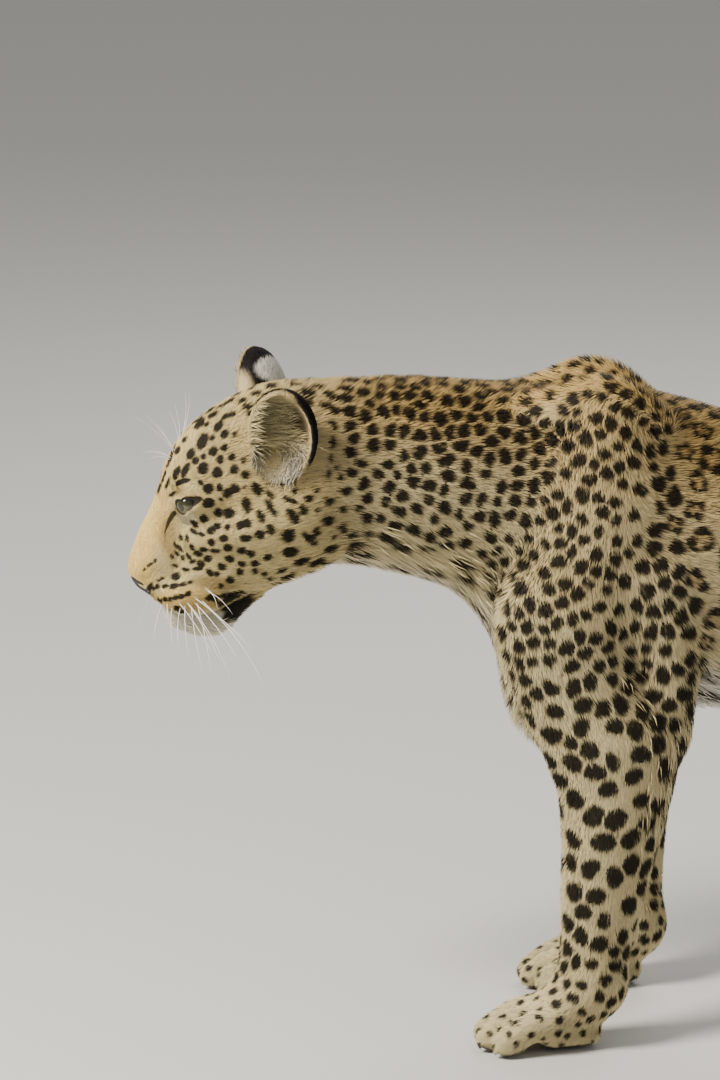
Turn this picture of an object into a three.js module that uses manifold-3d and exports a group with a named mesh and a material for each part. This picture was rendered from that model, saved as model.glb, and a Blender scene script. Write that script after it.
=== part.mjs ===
// A life-size standing leopard: head held low and forward, one long body, four legs on their paws and a hanging tail.
// Millimetres, +Z up. The animal faces -X, and its left side is towards -Y.
// The flesh is one smooth form, blended from tapered tubes, and is parted into named pieces by thin cuts.
import * as THREE from "three";
import { mergeVertices } from "three/addons/utils/BufferGeometryUtils.js";
import Module from "manifold-3d";

const wasm = await Module();
wasm.setup();

// Driving dimensions
const GAP = 0.3; // between pieces that touch
const HEAD_YAW = 6.5; // degrees that the head turns to the animal's left
const HEAD_PIVOT = new THREE.Vector3(-235, 0, 540); // where the skull meets the neck
const LEG_HALF_TRACK = 98; // from the midline to the middle of a front paw
const HIND_HALF_TRACK = 84;
const SHOULDER_HEIGHT = 420; // height at which a front leg starts to swing
const HIP_HEIGHT = 480;
const FRONT_SWING = { left: 0, right: 78 }; // how far each front paw stands behind the left one
const HIND_SWING = { left: 42, right: -62 }; // how far each hind paw stands behind its hip's rest place
const WRIST_HEIGHT = 62; // top of a front paw
const HOCK_CUT_HEIGHT = 66; // top of a hind paw
const EYE_RADIUS = 13.5;
const EYE_PLACE = new THREE.Vector3(-382, 34, 522); // right eye, before the head turns
const LID_THICKNESS = 2.6;
const EAR_HEIGHT = 100;
// The ears turn by themselves: the left one opens to the side, and the right one stands further back and opens forwards.
const EAR_PLACE = {
  left: { foot: new THREE.Vector3(-300, -54, 540), tip: new THREE.Vector3(-306, -90, 640) },
  right: { foot: new THREE.Vector3(-290, 54, 546), tip: new THREE.Vector3(-298, 88, 646) },
};
const EAR_OPEN = { left: { forward: -0.42, outward: 0.84 }, right: { forward: -0.7, outward: 0.62 } };

// Grid steps of the faceted surfaces
const STEP = {
  head: [8.3, 9.3, 9.2],
  nose: [8, 7, 6],
  neck: [30, 22, 22],
  torso: [44, 33, 33],
  frontLeg: [19, 19, 33],
  hindLeg: [23, 20, 31],
  paw: [13.5, 12.5, 12.5],
  tail: [21, 18, 21],
};
const SKULL_STEP = 16; // along the body behind the face, where the head is plainer
const FACE_END = -345;

const COLOURS = {
  coat: 0xc9a268,
  pale: 0xd9c7a2,
  nose: 0x5b4038,
  eye: 0x7d7a3c,
  ear: 0xb59763,
};
const SIDES = { left: -1, right: 1 };

// Tapered tubes. A row is [x, y, z, r, w]: r is the radius seen from the side, and w the half width across the body.
function catmullRom(a, b, c, d, t) {
  const t2 = t * t;
  const t3 = t2 * t;
  return a.map((_, i) => 0.5 * (
    2 * b[i] + (c[i] - a[i]) * t + (2 * a[i] - 5 * b[i] + 4 * c[i] - d[i]) * t2
    + (3 * b[i] - a[i] - 3 * c[i] + d[i]) * t3
  ));
}

function smoothRows(rows, between = 3) {
  const at = (i) => rows[Math.min(Math.max(i, 0), rows.length - 1)];
  const made = [];
  for (let i = 0; i < rows.length - 1; i++) {
    for (let k = 0; k < between; k++) {
      made.push(catmullRom(at(i - 1), at(i), at(i + 1), at(i + 2), k / between));
    }
  }
  made.push(rows[rows.length - 1]);
  return made;
}

// blend is the size of the soft fillet where the tube joins what comes before it.
function tube(blend, rows) {
  const line = smoothRows(rows);
  const box = new THREE.Box3();
  for (const [x, y, z, r, w] of line) {
    box.expandByPoint(new THREE.Vector3(x - r, y - w, z - r));
    box.expandByPoint(new THREE.Vector3(x + r, y + w, z + r));
  }
  return { blend, line, box: box.expandByScalar(blend) };
}

function tubeDistance({ line }, x, y, z) {
  let least = Infinity;
  for (let i = 0; i < line.length - 1; i++) {
    const [ax, ay, az, ar, aw] = line[i];
    const [bx, by, bz, br, bw] = line[i + 1];
    const across = (ar / aw + br / bw) / 2;
    const dx = bx - ax;
    const dy = (by - ay) * across;
    const dz = bz - az;
    const along = (x - ax) * dx + (y - ay) * across * dy + (z - az) * dz;
    const t = Math.min(Math.max(along / (dx * dx + dy * dy + dz * dz), 0), 1);
    const r = ar + (br - ar) * t;
    const w = aw + (bw - aw) * t;
    const ex = x - ax - dx * t;
    const ey = (y - ay - (by - ay) * t) * r / w;
    const ez = z - az - dz * t;
    least = Math.min(least, Math.sqrt(ex * ex + ey * ey + ez * ez) - r);
  }
  return least;
}

function softMin(a, b, blend) {
  const h = Math.max(blend - Math.abs(a - b), 0) / blend;
  return Math.min(a, b) - h * h * blend / 4;
}

const mirrored = (rows) => rows.map(([x, y, z, r, w]) => [x, -y, z, r, w]);
const pair = (blend, rows) => [tube(blend, rows), tube(blend, mirrored(rows))];

// The trunk, from the breast to the root of the tail
const trunk = [
  tube(30, [
    [-12, 0, 452, 106, 80], [55, 0, 456, 142, 102], [135, 0, 444, 143, 112],
    [250, 0, 445, 142, 117], [380, 0, 455, 135, 110], [500, 0, 474, 124, 96],
    [600, 0, 500, 106, 86], [690, 0, 516, 98, 82], [752, 0, 524, 74, 62],
  ]),
  tube(24, [[-16, 0, 405, 75, 72], [-20, 0, 352, 66, 62], [-24, 0, 316, 55, 50], [-15, 0, 301, 44, 43]]),
  tube(45, [[750, 0, 545, 46, 40], [812, 0, 552, 33, 30], [866, 2, 514, 28, 27], [905, 4, 430, 25, 25]]),
];
const neck = [
  tube(40, [
    [10, 0, 500, 112, 84], [-110, 0, 523, 100, 78], [-190, 0, 536, 93, 71], [-270, 0, 538, 84, 65],
  ]),
];
const shoulderBlades = [
  ...pair(24, [
    [-84, 34, 588, 18, 14], [-36, 38, 600, 22, 16], [8, 42, 607, 25, 17], [36, 44, 600, 21, 16], [62, 44, 580, 14, 13],
  ]),
  ...pair(40, [[8, 46, 584, 36, 19], [8, 58, 556, 48, 26], [-6, 74, 480, 58, 33], [-26, 83, 405, 56, 36]]),
];

// A leg leans as a whole: what is lower moves further back.
function leaning(rows, swing, topHeight) {
  const share = (z) => Math.max(1 - Math.max(z, WRIST_HEIGHT) / topHeight, 0);
  return rows.map(([x, y, z, r, w]) => [x + swing * share(z), y, z, r, w]);
}

// A paw with four toes. x is the middle of its wrist, and scale its size beside a front paw's.
function pawTubes(x, y, scale) {
  const at = (forward, across, z, r, w) => [x - forward * scale, y + across * scale, z * scale, r * scale, w * scale];
  const tubes = [
    tube(16, [at(0, 0, 62, 31, 30), at(16, 0, 44, 29, 32), at(44, 0, 30, 23, 37)]),
    tube(10, [at(4, 0, 15, 16.5, 24), at(36, 0, 13, 15.5, 32)]),
  ];
  for (const [across, back] of [[-30, 12], [-10.5, 0], [10.5, 0], [30, 12]]) {
    tubes.push(tube(7, [
      at(50 - back, across * 0.9, 31, 14, 11), at(74 - back, across, 27, 15.5, 11.5),
      at(94 - back, across * 1.05, 13.5, 16, 11),
    ]));
  }
  return tubes;
}

function frontLeg(side, swing) {
  const y = side * LEG_HALF_TRACK;
  const rows = (list) => leaning(list.map(([x, dy, z, r, w]) => [x, y + side * dy, z, r, w]), swing, SHOULDER_HEIGHT);
  const foot = leaning([[-8, y, WRIST_HEIGHT, 1, 1]], swing, SHOULDER_HEIGHT)[0][0];
  return [
    tube(32, rows([[-38, -14, 405, 60, 36], [-19, -8, 350, 62, 38], [3, -4, 300, 58, 37]])),
    tube(20, rows([[56, -12, 440, 42, 28], [64, -6, 370, 33, 25], [66, -2, 306, 21, 19]])),
    tube(20, rows([
      [17, -1, 286, 61, 38], [11, 0, 210, 49, 35], [3, 1, 150, 41, 31], [-3, 1, 100, 35, 29], [-6, 1, 60, 33, 31],
    ])),
    ...pawTubes(foot, y, 1),
  ];
}

function hindLeg(side, swing) {
  const y = side * HIND_HALF_TRACK;
  const rows = (list) => leaning(list.map(([x, dy, z, r, w]) => [x, y + side * dy, z, r, w]), swing, HIP_HEIGHT);
  const foot = leaning([[738, y, WRIST_HEIGHT, 1, 1]], swing, HIP_HEIGHT)[0][0];
  return [
    tube(40, rows([[678, -30, 522, 84, 40], [648, -14, 425, 82, 42], [622, -4, 345, 54, 35]])),
    tube(30, rows([[752, -34, 505, 52, 32], [742, -20, 410, 50, 31], [716, -10, 310, 36, 24], [748, -2, 230, 22, 17]])),
    tube(26, rows([[628, -2, 335, 48, 34], [682, 0, 262, 42, 30], [744, 0, 196, 25, 20], [776, 0, 166, 22, 18]])),
    tube(14, rows([[774, 0, 168, 23, 19], [758, 0, 112, 23, 21], [744, 0, 60, 25, 25]])),
    ...pawTubes(foot, y, 0.93),
  ];
}

// The tail hangs behind the hocks, swings a little to the right and turns up before its tip.
const tail = [
  tube(20, [
    [905, 4, 430, 25, 25], [928, 8, 330, 23, 23], [944, 14, 235, 22, 22], [985, 20, 155, 21, 21],
    [1052, 22, 112, 20, 20], [1126, 18, 126, 18, 18], [1172, 12, 178, 15, 15], [1186, 8, 216, 9, 9],
  ]),
];

// The head, in its own frame before it turns about the pivot
const skull = [
  tube(40, [[-258, 0, 540, 74, 63], [-300, 0, 547, 70, 66], [-338, 0, 543, 58, 57], [-369, 0, 525, 35, 38]]),
  ...pair(16, [[-366, 34, 522, 23, 18], [-330, 44, 528, 34, 21]]),
  tube(16, [[-364, 0, 523, 32, 30], [-390, 0, 495, 29, 24], [-411, 0, 460, 24, 22], [-412, 0, 451, 22, 20]]),
  tube(16, [[-388, 0, 460, 32, 31], [-335, 0, 486, 56, 53]]),
  ...pair(14, [[-403, 16, 435, 13, 13], [-389, 26, 432, 18.5, 18], [-366, 32, 438, 22, 19], [-350, 34, 450, 22, 18]]),
  ...pair(12, [[EYE_PLACE.x + 3, EYE_PLACE.y, EYE_PLACE.z, 16, 16], [EYE_PLACE.x + 8, EYE_PLACE.y + 2, EYE_PLACE.z, 16, 16]]),
  ...pair(16, [[-372, 38, 486, 17, 13], [-330, 55, 497, 28, 18], [-286, 58, 510, 36, 22]]),
  ...pair(18, [[-364, 32, 456, 23, 17], [-326, 43, 468, 32, 22], [-286, 48, 492, 46, 27]]),
  ...pair(12, [[-386, 18, 541, 11, 10], [-380, 36, 541, 12, 9], [-363, 47, 530, 13, 9]]),
  tube(10, [[-386, 0, 411, 17, 21], [-359, 0, 409, 24, 28], [-338, 0, 425, 21, 31], [-305, 0, 466, 32, 43]]),
];

const turn = THREE.MathUtils.degToRad(HEAD_YAW);
const headTurn = new THREE.Matrix4()
  .makeTranslation(HEAD_PIVOT.x, HEAD_PIVOT.y, HEAD_PIVOT.z)
  .multiply(new THREE.Matrix4().makeRotationZ(turn))
  .multiply(new THREE.Matrix4().makeTranslation(-HEAD_PIVOT.x, -HEAD_PIVOT.y, -HEAD_PIVOT.z));
const bodyTubes = [
  ...trunk,
  ...neck,
  ...shoulderBlades,
  ...frontLeg(SIDES.left, FRONT_SWING.left),
  ...frontLeg(SIDES.right, FRONT_SWING.right),
  ...hindLeg(SIDES.left, HIND_SWING.left),
  ...hindLeg(SIDES.right, HIND_SWING.right),
  ...tail,
];
const HEAD_BLEND = 30;
const FAR = 60; // a tube further away than this has no say
const NOWHERE = 1e4;

function blended(tubes, x, y, z) {
  let distance = NOWHERE;
  const point = new THREE.Vector3(x, y, z);
  for (const one of tubes) {
    if (one.box.distanceToPoint(point) > FAR) continue;
    distance = softMin(distance, tubeDistance(one, x, y, z), one.blend);
  }
  return distance;
}

// The signed distance to the whole animal's flesh: below 0 is inside.
function flesh(x, y, z) {
  const px = x - HEAD_PIVOT.x;
  const hx = px * Math.cos(turn) + y * Math.sin(turn) + HEAD_PIVOT.x;
  const hy = -px * Math.sin(turn) + y * Math.cos(turn);
  return softMin(blended(bodyTubes, x, y, z), blended(skull, hx, hy, z), HEAD_BLEND);
}

// The surface where flesh is 0 inside a box, as a closed mesh: one vertex for each grid cell that the surface crosses.
// Where the corners of a grid square are inside and outside by turns, the surface would touch itself.
// The outside corner nearest to it is taken in.
function unpinch(value, [nx, ny, nz], index) {
  const squares = [[[0, 1, 0], [0, 0, 1]], [[1, 0, 0], [0, 0, 1]], [[1, 0, 0], [0, 1, 0]]];
  let changed = true;
  const repair = (i, j, k) => {
    for (const [a, b] of squares) {
      const places = [[0, 0], [1, 0], [1, 1], [0, 1]]
        .map(([s, t]) => index(i + s * a[0] + t * b[0], j + s * a[1] + t * b[1], k + s * a[2] + t * b[2]));
      const inside = places.map((n) => value[n] < 0);
      if (inside[0] !== inside[2] || inside[1] !== inside[3] || inside[0] === inside[1]) continue;
      const nearest = places.filter((n) => value[n] >= 0).reduce((m, n) => (value[n] < value[m] ? n : m));
      value[nearest] = -0.3;
      changed = true;
    }
  };
  while (changed) {
    changed = false;
    for (let i = 1; i < nx - 2; i++) {
      for (let j = 1; j < ny - 2; j++) {
        for (let k = 1; k < nz - 2; k++) repair(i, j, k);
      }
    }
  }
}

// Grid lines further along x than coarseFrom are SKULL_STEP apart.
function gridLines(low, high, step, coarseFrom = Infinity) {
  const lines = [low - step];
  while (lines[lines.length - 1] < high) {
    const last = lines[lines.length - 1];
    lines.push(last + (last > coarseFrom ? SKULL_STEP : step));
  }
  return lines;
}

function surfaceIn(box, step, grow = 0, coarseFrom = Infinity) {
  const xs = gridLines(box.min.x, box.max.x, step[0], coarseFrom);
  const ys = gridLines(box.min.y, box.max.y, step[1]);
  const zs = gridLines(box.min.z, box.max.z, step[2]);
  const [nx, ny, nz] = [xs.length, ys.length, zs.length];
  const value = new Float32Array(nx * ny * nz);
  const index = (i, j, k) => (i * ny + j) * nz + k;
  for (let i = 0; i < nx; i++) {
    for (let j = 0; j < ny; j++) {
      for (let k = 0; k < nz; k++) {
        const rim = i === 0 || j === 0 || k === 0 || i === nx - 1 || j === ny - 1 || k === nz - 1;
        const d = flesh(xs[i], ys[j], zs[k]);
        value[index(i, j, k)] = rim ? Math.max(d, step[0] * 0.5) : d;
      }
    }
  }
  unpinch(value, [nx, ny, nz], index);
  const vertex = new Map();
  const positions = [];
  const corners = [];
  for (let c = 0; c < 8; c++) corners.push([c & 1, (c >> 1) & 1, (c >> 2) & 1]);
  for (let i = 0; i < nx - 1; i++) {
    for (let j = 0; j < ny - 1; j++) {
      for (let k = 0; k < nz - 1; k++) {
        const v = corners.map(([a, b, c]) => value[index(i + a, j + b, k + c)]);
        if (v.every((d) => d < 0) || v.every((d) => d >= 0)) continue;
        const sum = new THREE.Vector3();
        let count = 0;
        for (let p = 0; p < 8; p++) {
          for (const bit of [1, 2, 4]) {
            const q = p | bit;
            if (q === p || (v[p] < 0) === (v[q] < 0)) continue;
            const t = v[p] / (v[p] - v[q]);
            const from = corners[p];
            const to = corners[q];
            sum.add(new THREE.Vector3(...from.map((f, n) => f + (to[n] - f) * t)));
            count++;
          }
        }
        const at = sum.divideScalar(count).multiply(new THREE.Vector3(xs[i + 1] - xs[i], ys[j + 1] - ys[j], zs[k + 1] - zs[k]));
        at.add(new THREE.Vector3(xs[i], ys[j], zs[k]));
        if (box.containsPoint(at)) settle(at, step[0] * 0.6, grow);
        vertex.set(index(i, j, k), positions.length / 3);
        positions.push(at.x, at.y, at.z);
      }
    }
  }
  const triangles = [];
  const face = (a, b, c, d, turned) => {
    const p = [a, b, c, d].map((n) => new THREE.Vector3().fromArray(positions, 3 * n));
    const quad = p[0].distanceTo(p[2]) < p[1].distanceTo(p[3]) ? [a, b, c, a, c, d] : [a, b, d, b, c, d];
    if (turned) quad.reverse();
    triangles.push(...quad);
  };
  for (let i = 0; i < nx - 1; i++) {
    for (let j = 0; j < ny - 1; j++) {
      for (let k = 0; k < nz - 1; k++) {
        const here = value[index(i, j, k)] < 0;
        const cell = (a, b, c) => vertex.get(index(i - a, j - b, k - c));
        if (here !== value[index(i + 1, j, k)] < 0) face(cell(0, 0, 0), cell(0, 1, 0), cell(0, 1, 1), cell(0, 0, 1), !here);
        if (here !== value[index(i, j + 1, k)] < 0) face(cell(0, 0, 0), cell(0, 0, 1), cell(1, 0, 1), cell(1, 0, 0), !here);
        if (here !== value[index(i, j, k + 1)] < 0) face(cell(0, 0, 0), cell(1, 0, 0), cell(1, 1, 0), cell(0, 1, 0), !here);
      }
    }
  }
  return new wasm.Manifold(new wasm.Mesh({
    numProp: 3,
    vertProperties: new Float32Array(positions),
    triVerts: new Uint32Array(triangles),
  }));
}

// Moves a point onto the surface, but no further than reach, and then out by grow.
function settle(at, reach, grow) {
  const start = at.clone();
  const E = 0.5;
  const normal = new THREE.Vector3();
  for (let n = 0; n < 3; n++) {
    const d = flesh(at.x, at.y, at.z);
    normal.set(
      flesh(at.x + E, at.y, at.z) - flesh(at.x - E, at.y, at.z),
      flesh(at.x, at.y + E, at.z) - flesh(at.x, at.y - E, at.z),
      flesh(at.x, at.y, at.z + E) - flesh(at.x, at.y, at.z - E),
    ).divideScalar(2 * E);
    if (normal.lengthSq() < 0.01) break;
    at.addScaledVector(normal, -d / normal.lengthSq());
  }
  if (at.distanceTo(start) > reach) at.sub(start).setLength(reach).add(start);
  if (grow) at.addScaledVector(normal.normalize(), grow);
}

// Solids from three.js geometry
function solid(geometry, matrix) {
  const plain = geometry.clone();
  plain.deleteAttribute("normal");
  plain.deleteAttribute("uv");
  if (matrix) plain.applyMatrix4(matrix);
  const merged = mergeVertices(plain, 1e-3);
  const made = new wasm.Manifold(new wasm.Mesh({
    numProp: 3,
    vertProperties: new Float32Array(merged.attributes.position.array),
    triVerts: new Uint32Array(merged.index.array),
  }));
  return made;
}

const block = (x0, x1, y0, y1, z0, z1) => solid(
  new THREE.BoxGeometry(x1 - x0, y1 - y0, z1 - z0),
  new THREE.Matrix4().makeTranslation((x0 + x1) / 2, (y0 + y1) / 2, (z0 + z1) / 2),
);

const BIG = 2000;
// Everything on the side of a slanted plane that normal points to. Both points and the normal lie in the side view.
function halfSpace(x, z, normalX, normalZ, shift = 0) {
  const matrix = new THREE.Matrix4()
    .makeTranslation(x, 0, z)
    .multiply(new THREE.Matrix4().makeRotationY(Math.atan2(-normalZ, normalX)))
    .multiply(new THREE.Matrix4().makeTranslation(BIG / 2 + shift, 0, 0));
  return solid(new THREE.BoxGeometry(BIG, BIG, BIG), matrix);
}

function largest(made) {
  const bodies = made.decompose();
  return bodies.reduce((a, b) => (b.volume() > a.volume() ? b : a));
}

const root = new THREE.Group();

function addNode(name, made, colour, roughness = 0.85) {
  const mesh = largest(made).getMesh();
  const geometry = new THREE.BufferGeometry();
  geometry.setAttribute("position", new THREE.BufferAttribute(new Float32Array(mesh.vertProperties), 3));
  geometry.setIndex(new THREE.BufferAttribute(new Uint32Array(mesh.triVerts), 1));
  geometry.computeVertexNormals();
  const node = new THREE.Mesh(geometry, new THREE.MeshStandardMaterial({ color: colour, roughness, metalness: 0 }));
  node.name = name;
  root.add(node);
}

const region = (x0, x1, y0, y1, z0, z1) => new THREE.Box3(new THREE.Vector3(x0, y0, z0), new THREE.Vector3(x1, y1, z1));
const OUT = 200; // half width that holds the whole animal

// Legs and paws. A leg's outline in the side view is an oval over the joint, and a strip down to the floor.
function legRegion(side, inner, oval, strip, grow) {
  const shape = new THREE.Shape();
  const { x, z, rx, rz } = oval;
  shape.moveTo(strip.x0 - grow, -20);
  shape.lineTo(strip.x1 + grow, -20);
  shape.lineTo(strip.x1 + grow, strip.top);
  shape.lineTo(x + rx + grow, z);
  shape.absellipse(x, z, rx + grow, rz + grow, 0, Math.PI, false, 0);
  shape.lineTo(strip.x0 - grow, strip.top);
  shape.closePath();
  const geometry = new THREE.ExtrudeGeometry(shape, { depth: OUT, bevelEnabled: false, curveSegments: 10 });
  // The shape is drawn in x and z, and is extruded from the inner plane outwards.
  const matrix = new THREE.Matrix4().makeRotationX(Math.PI / 2);
  matrix.premultiply(new THREE.Matrix4().makeTranslation(0, side < 0 ? -(inner - grow) : inner - grow + OUT, 0));
  return solid(geometry, matrix);
}

const floorSpace = block(-BIG, BIG, -OUT, OUT, 0, BIG);
const legRegions = [];

function addLeg(place, sideName, kind) {
  const side = SIDES[sideName];
  const low = region(
    kind.box.x0 - 10, kind.box.x1 + 10, side < 0 ? -OUT : kind.inner - 20, side < 0 ? 20 - kind.inner : OUT, -40, kind.box.top,
  );
  const limb = legRegion(side, kind.inner, kind.oval, kind.strip, 0);
  legRegions.push(legRegion(side, kind.inner, kind.oval, kind.strip, GAP));
  const leg = surfaceIn(low, kind.step).intersect(limb);
  addNode(`${place}_leg_${sideName}`, leg.intersect(block(-BIG, BIG, -OUT, OUT, kind.cut + GAP, BIG)), COLOURS.coat);
  const pawBox = region(kind.paw.x0, kind.paw.x1, low.min.y, low.max.y, -20, kind.cut + 15);
  const paw = surfaceIn(pawBox, STEP.paw).intersect(limb).intersect(block(-BIG, BIG, -OUT, OUT, 0, kind.cut));
  addNode(`${place}_paw_${sideName}`, paw, COLOURS.pale);
}

for (const name of ["left", "right"]) {
  const lean = FRONT_SWING[name];
  addLeg("front", name, {
    inner: 46,
    step: STEP.frontLeg,
    cut: WRIST_HEIGHT,
    box: { x0: -130, x1: 130 + lean, top: 510 },
    oval: { x: 2 + lean * 0.1, z: 390, rx: 96, rz: 100 },
    strip: { x0: -125 + lean * 0.85, x1: 118 + lean, top: 330 },
    paw: { x0: -125 + lean * 0.8, x1: 50 + lean },
  });
}
for (const name of ["left", "right"]) {
  const lean = HIND_SWING[name];
  addLeg("hind", name, {
    inner: 26,
    step: STEP.hindLeg,
    cut: HOCK_CUT_HEIGHT,
    box: { x0: 520, x1: 860, top: 580 },
    oval: { x: 690 + lean * 0.3, z: 430, rx: 124, rz: 132 },
    strip: { x0: 555 + lean * 0.8, x1: 850, top: 330 },
    paw: { x0: 620 + lean, x1: 800 + lean },
  });
}

// Torso, neck and tail
const neckCut = { x: -64, z: 520, nx: -0.936, nz: 0.351 }; // from the breast up to the withers
const headCut = { x: -268, z: 535, nx: -0.982, nz: 0.19 };
const LOIN = 360; // where the chest ends and the hind part begins
const TAIL_START = 815;
const tailCuts = { middle: 330, tip: 1030 };
const notLegs = (made) => legRegions.reduce((left, limb) => left.subtract(limb), made);
const tailSlot = (grow) => block(TAIL_START - grow, BIG, -60 - grow, 70 + grow, -20, BIG);

const torso = notLegs(surfaceIn(region(-150, 860, -OUT, OUT, 180, 690), STEP.torso));
const behindNeck = halfSpace(neckCut.x, neckCut.z, -neckCut.nx, -neckCut.nz, GAP / 2);
addNode("chest", torso.intersect(behindNeck).intersect(block(-BIG, LOIN - GAP, -OUT, OUT, 0, BIG)), COLOURS.coat);
addNode("hindquarters", torso.intersect(block(LOIN, BIG, -OUT, OUT, 0, BIG)).subtract(tailSlot(GAP)), COLOURS.coat);

const neckPiece = surfaceIn(region(-330, 40, -OUT, OUT, 340, 690), STEP.neck)
  .intersect(halfSpace(neckCut.x, neckCut.z, neckCut.nx, neckCut.nz, GAP / 2))
  .intersect(halfSpace(headCut.x, headCut.z, -headCut.nx, -headCut.nz, GAP / 2));
addNode("neck", notLegs(neckPiece), COLOURS.coat);

const tailPiece = surfaceIn(region(790, 1230, -60, 80, 60, 640), STEP.tail).intersect(tailSlot(0));
addNode("tail_base", tailPiece.intersect(block(-BIG, BIG, -OUT, OUT, tailCuts.middle + GAP, BIG)), COLOURS.coat);
const lowTail = tailPiece.intersect(block(-BIG, BIG, -OUT, OUT, 0, tailCuts.middle));
addNode("tail_middle", lowTail.intersect(block(-BIG, tailCuts.tip - GAP, -OUT, OUT, 0, BIG)), COLOURS.coat);
addNode("tail_tip", lowTail.intersect(block(tailCuts.tip, BIG, -OUT, OUT, 0, BIG)), COLOURS.coat);

// Head
const headBox = region(-470, -225, -120, 120, 360, 660);
const headCutSpace = halfSpace(headCut.x, headCut.z, headCut.nx, headCut.nz, GAP / 2);
let head = surfaceIn(headBox, STEP.head, 0, FACE_END).intersect(headCutSpace);
const headGrown = surfaceIn(headBox, STEP.head, GAP, FACE_END);

const ball = (centre, radii, matrix = new THREE.Matrix4(), segments = 14) => solid(
  new THREE.SphereGeometry(1, segments, Math.round(segments * 0.6)),
  new THREE.Matrix4().makeTranslation(centre.x, centre.y, centre.z).multiply(matrix).scale(radii).premultiply(headTurn),
);
const even = (r) => new THREE.Vector3(r, r, r);

for (const [name, side] of Object.entries(SIDES)) {
  const centre = EYE_PLACE.clone().setY(side * EYE_PLACE.y);
  const socket = ball(centre, even(EYE_RADIUS + GAP));
  // The eye opens forwards and outwards. Its almond opening is what two balls share, higher at its outer corner.
  const gaze = new THREE.Vector3(-0.7, side * 0.71, -0.06).normalize();
  const tilt = new THREE.Vector3(-0.46, side * -0.39, 0.8).normalize();
  const basis = new THREE.Matrix4().lookAt(gaze, new THREE.Vector3(), tilt);
  const almond = (grow) => [1, -1].map((way) => ball(
    centre.clone().addScaledVector(gaze, EYE_RADIUS).addScaledVector(tilt, way * 7),
    new THREE.Vector3(15.5 + grow, 14.5 + grow, 11),
    basis,
  )).reduce((a, b) => a.intersect(b));
  const lids = ball(centre, even(EYE_RADIUS + LID_THICKNESS)).intersect(almond(4));
  head = head.add(lids).subtract(socket).subtract(almond(0));
  addNode(`eye_${name}`, ball(centre, even(EYE_RADIUS)), COLOURS.eye, 0.1);
}

// Each ear is a cup: an oval with a smaller oval taken out of the side that it opens to.
for (const [name, side] of Object.entries(SIDES)) {
  const { foot, tip } = EAR_PLACE[name];
  const up = tip.clone().sub(foot).normalize();
  const open = new THREE.Vector3(EAR_OPEN[name].forward, side * EAR_OPEN[name].outward, -0.3);
  open.addScaledVector(up, -open.dot(up)).normalize();
  const basis = new THREE.Matrix4().makeBasis(open.clone().cross(up).multiplyScalar(side), up, open);
  if (basis.determinant() < 0) basis.makeBasis(open.clone().cross(up).multiplyScalar(-side), up, open);
  const middle = foot.clone().lerp(tip, 0.5);
  const outer = ball(middle, new THREE.Vector3(34, EAR_HEIGHT / 2, 25), basis);
  const cup = ball(middle.clone().addScaledVector(open, 14), new THREE.Vector3(28.5, EAR_HEIGHT / 2 - 6, 27), basis);
  addNode(`ear_${name}`, outer.subtract(cup).subtract(headGrown), COLOURS.ear);
  head = head.subtract(cup);
}

// Nose leather, a bean on the end of the muzzle with two nostrils, and the groove below it
const point = (x, y, z) => new THREE.Vector3(x, y, z).applyMatrix4(headTurn);
function rod(from, to, radius) {
  const along = to.clone().sub(from);
  const matrix = new THREE.Matrix4().makeRotationFromQuaternion(
    new THREE.Quaternion().setFromUnitVectors(new THREE.Vector3(0, 1, 0), along.clone().normalize()),
  );
  matrix.setPosition(from.clone().lerp(to, 0.5));
  return solid(new THREE.CapsuleGeometry(radius, along.length(), 2, 6), matrix);
}

const chain = (points, radius) => points.slice(1)
  .map((to, i) => rod(points[i], to, radius))
  .reduce((a, b) => a.add(b));

const leatherPlace = new THREE.Vector3(-428, 0, 437);
const lean = new THREE.Matrix4().makeRotationY(THREE.MathUtils.degToRad(-48));
const leather = (grow) => ball(leatherPlace, new THREE.Vector3(12 + grow, 19 + grow, 15 + grow), lean, 14);
const noseBox = region(-470, -400, -70, 40, 405, 475);
let nose = surfaceIn(noseBox, STEP.nose, 0.8).intersect(leather(0));
head = head.subtract(leather(GAP));
for (const side of [-1, 1]) {
  const nostril = chain([point(-438, side * 7, 440), point(-424, side * 8, 438), point(-416, side * 16, 436)], 3.2);
  nose = nose.subtract(nostril);
}
addNode("nose", nose, COLOURS.nose, 0.5);

// Lower jaw, parted from the head along the mouth line, with the lips' edges rounded by a groove
const mouthLine = [
  [-440, 424], [-417, 422], [-408, 419], [-397, 417], [-385, 420.5], [-374, 427], [-360, 433], [-344, 437], [-328, 438],
];
function jawRegion(grow) {
  const shape = new THREE.Shape();
  shape.moveTo(-450, 350 - grow);
  for (const [x, z] of mouthLine) shape.lineTo(x, z + grow);
  shape.lineTo(-320 + grow, 433 + grow);
  shape.lineTo(-316 + grow, 350 - grow);
  shape.closePath();
  const matrix = new THREE.Matrix4().makeRotationX(Math.PI / 2).premultiply(new THREE.Matrix4().makeTranslation(0, 120, 0));
  return solid(new THREE.ExtrudeGeometry(shape, { depth: 240, bevelEnabled: false }), matrix.premultiply(headTurn));
}

let jaw = head.intersect(jawRegion(0));
head = head.subtract(jawRegion(GAP));
for (const side of [-1, 1]) {
  const lips = [[0, -416, 422], [12, -410, 420], [29, -391, 418.5], [42, -369, 430], [50, -338, 438]];
  const groove = chain(lips.map(([y, x, z]) => point(x, side * y, z)), 2.6);
  head = head.subtract(groove);
  jaw = jaw.subtract(groove);
}
head = head.subtract(rod(point(-421, 0, 428), point(-414, 0, 417), 1.8));
addNode("lower_jaw", jaw, COLOURS.pale);
addNode("head", head, COLOURS.coat);

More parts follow.
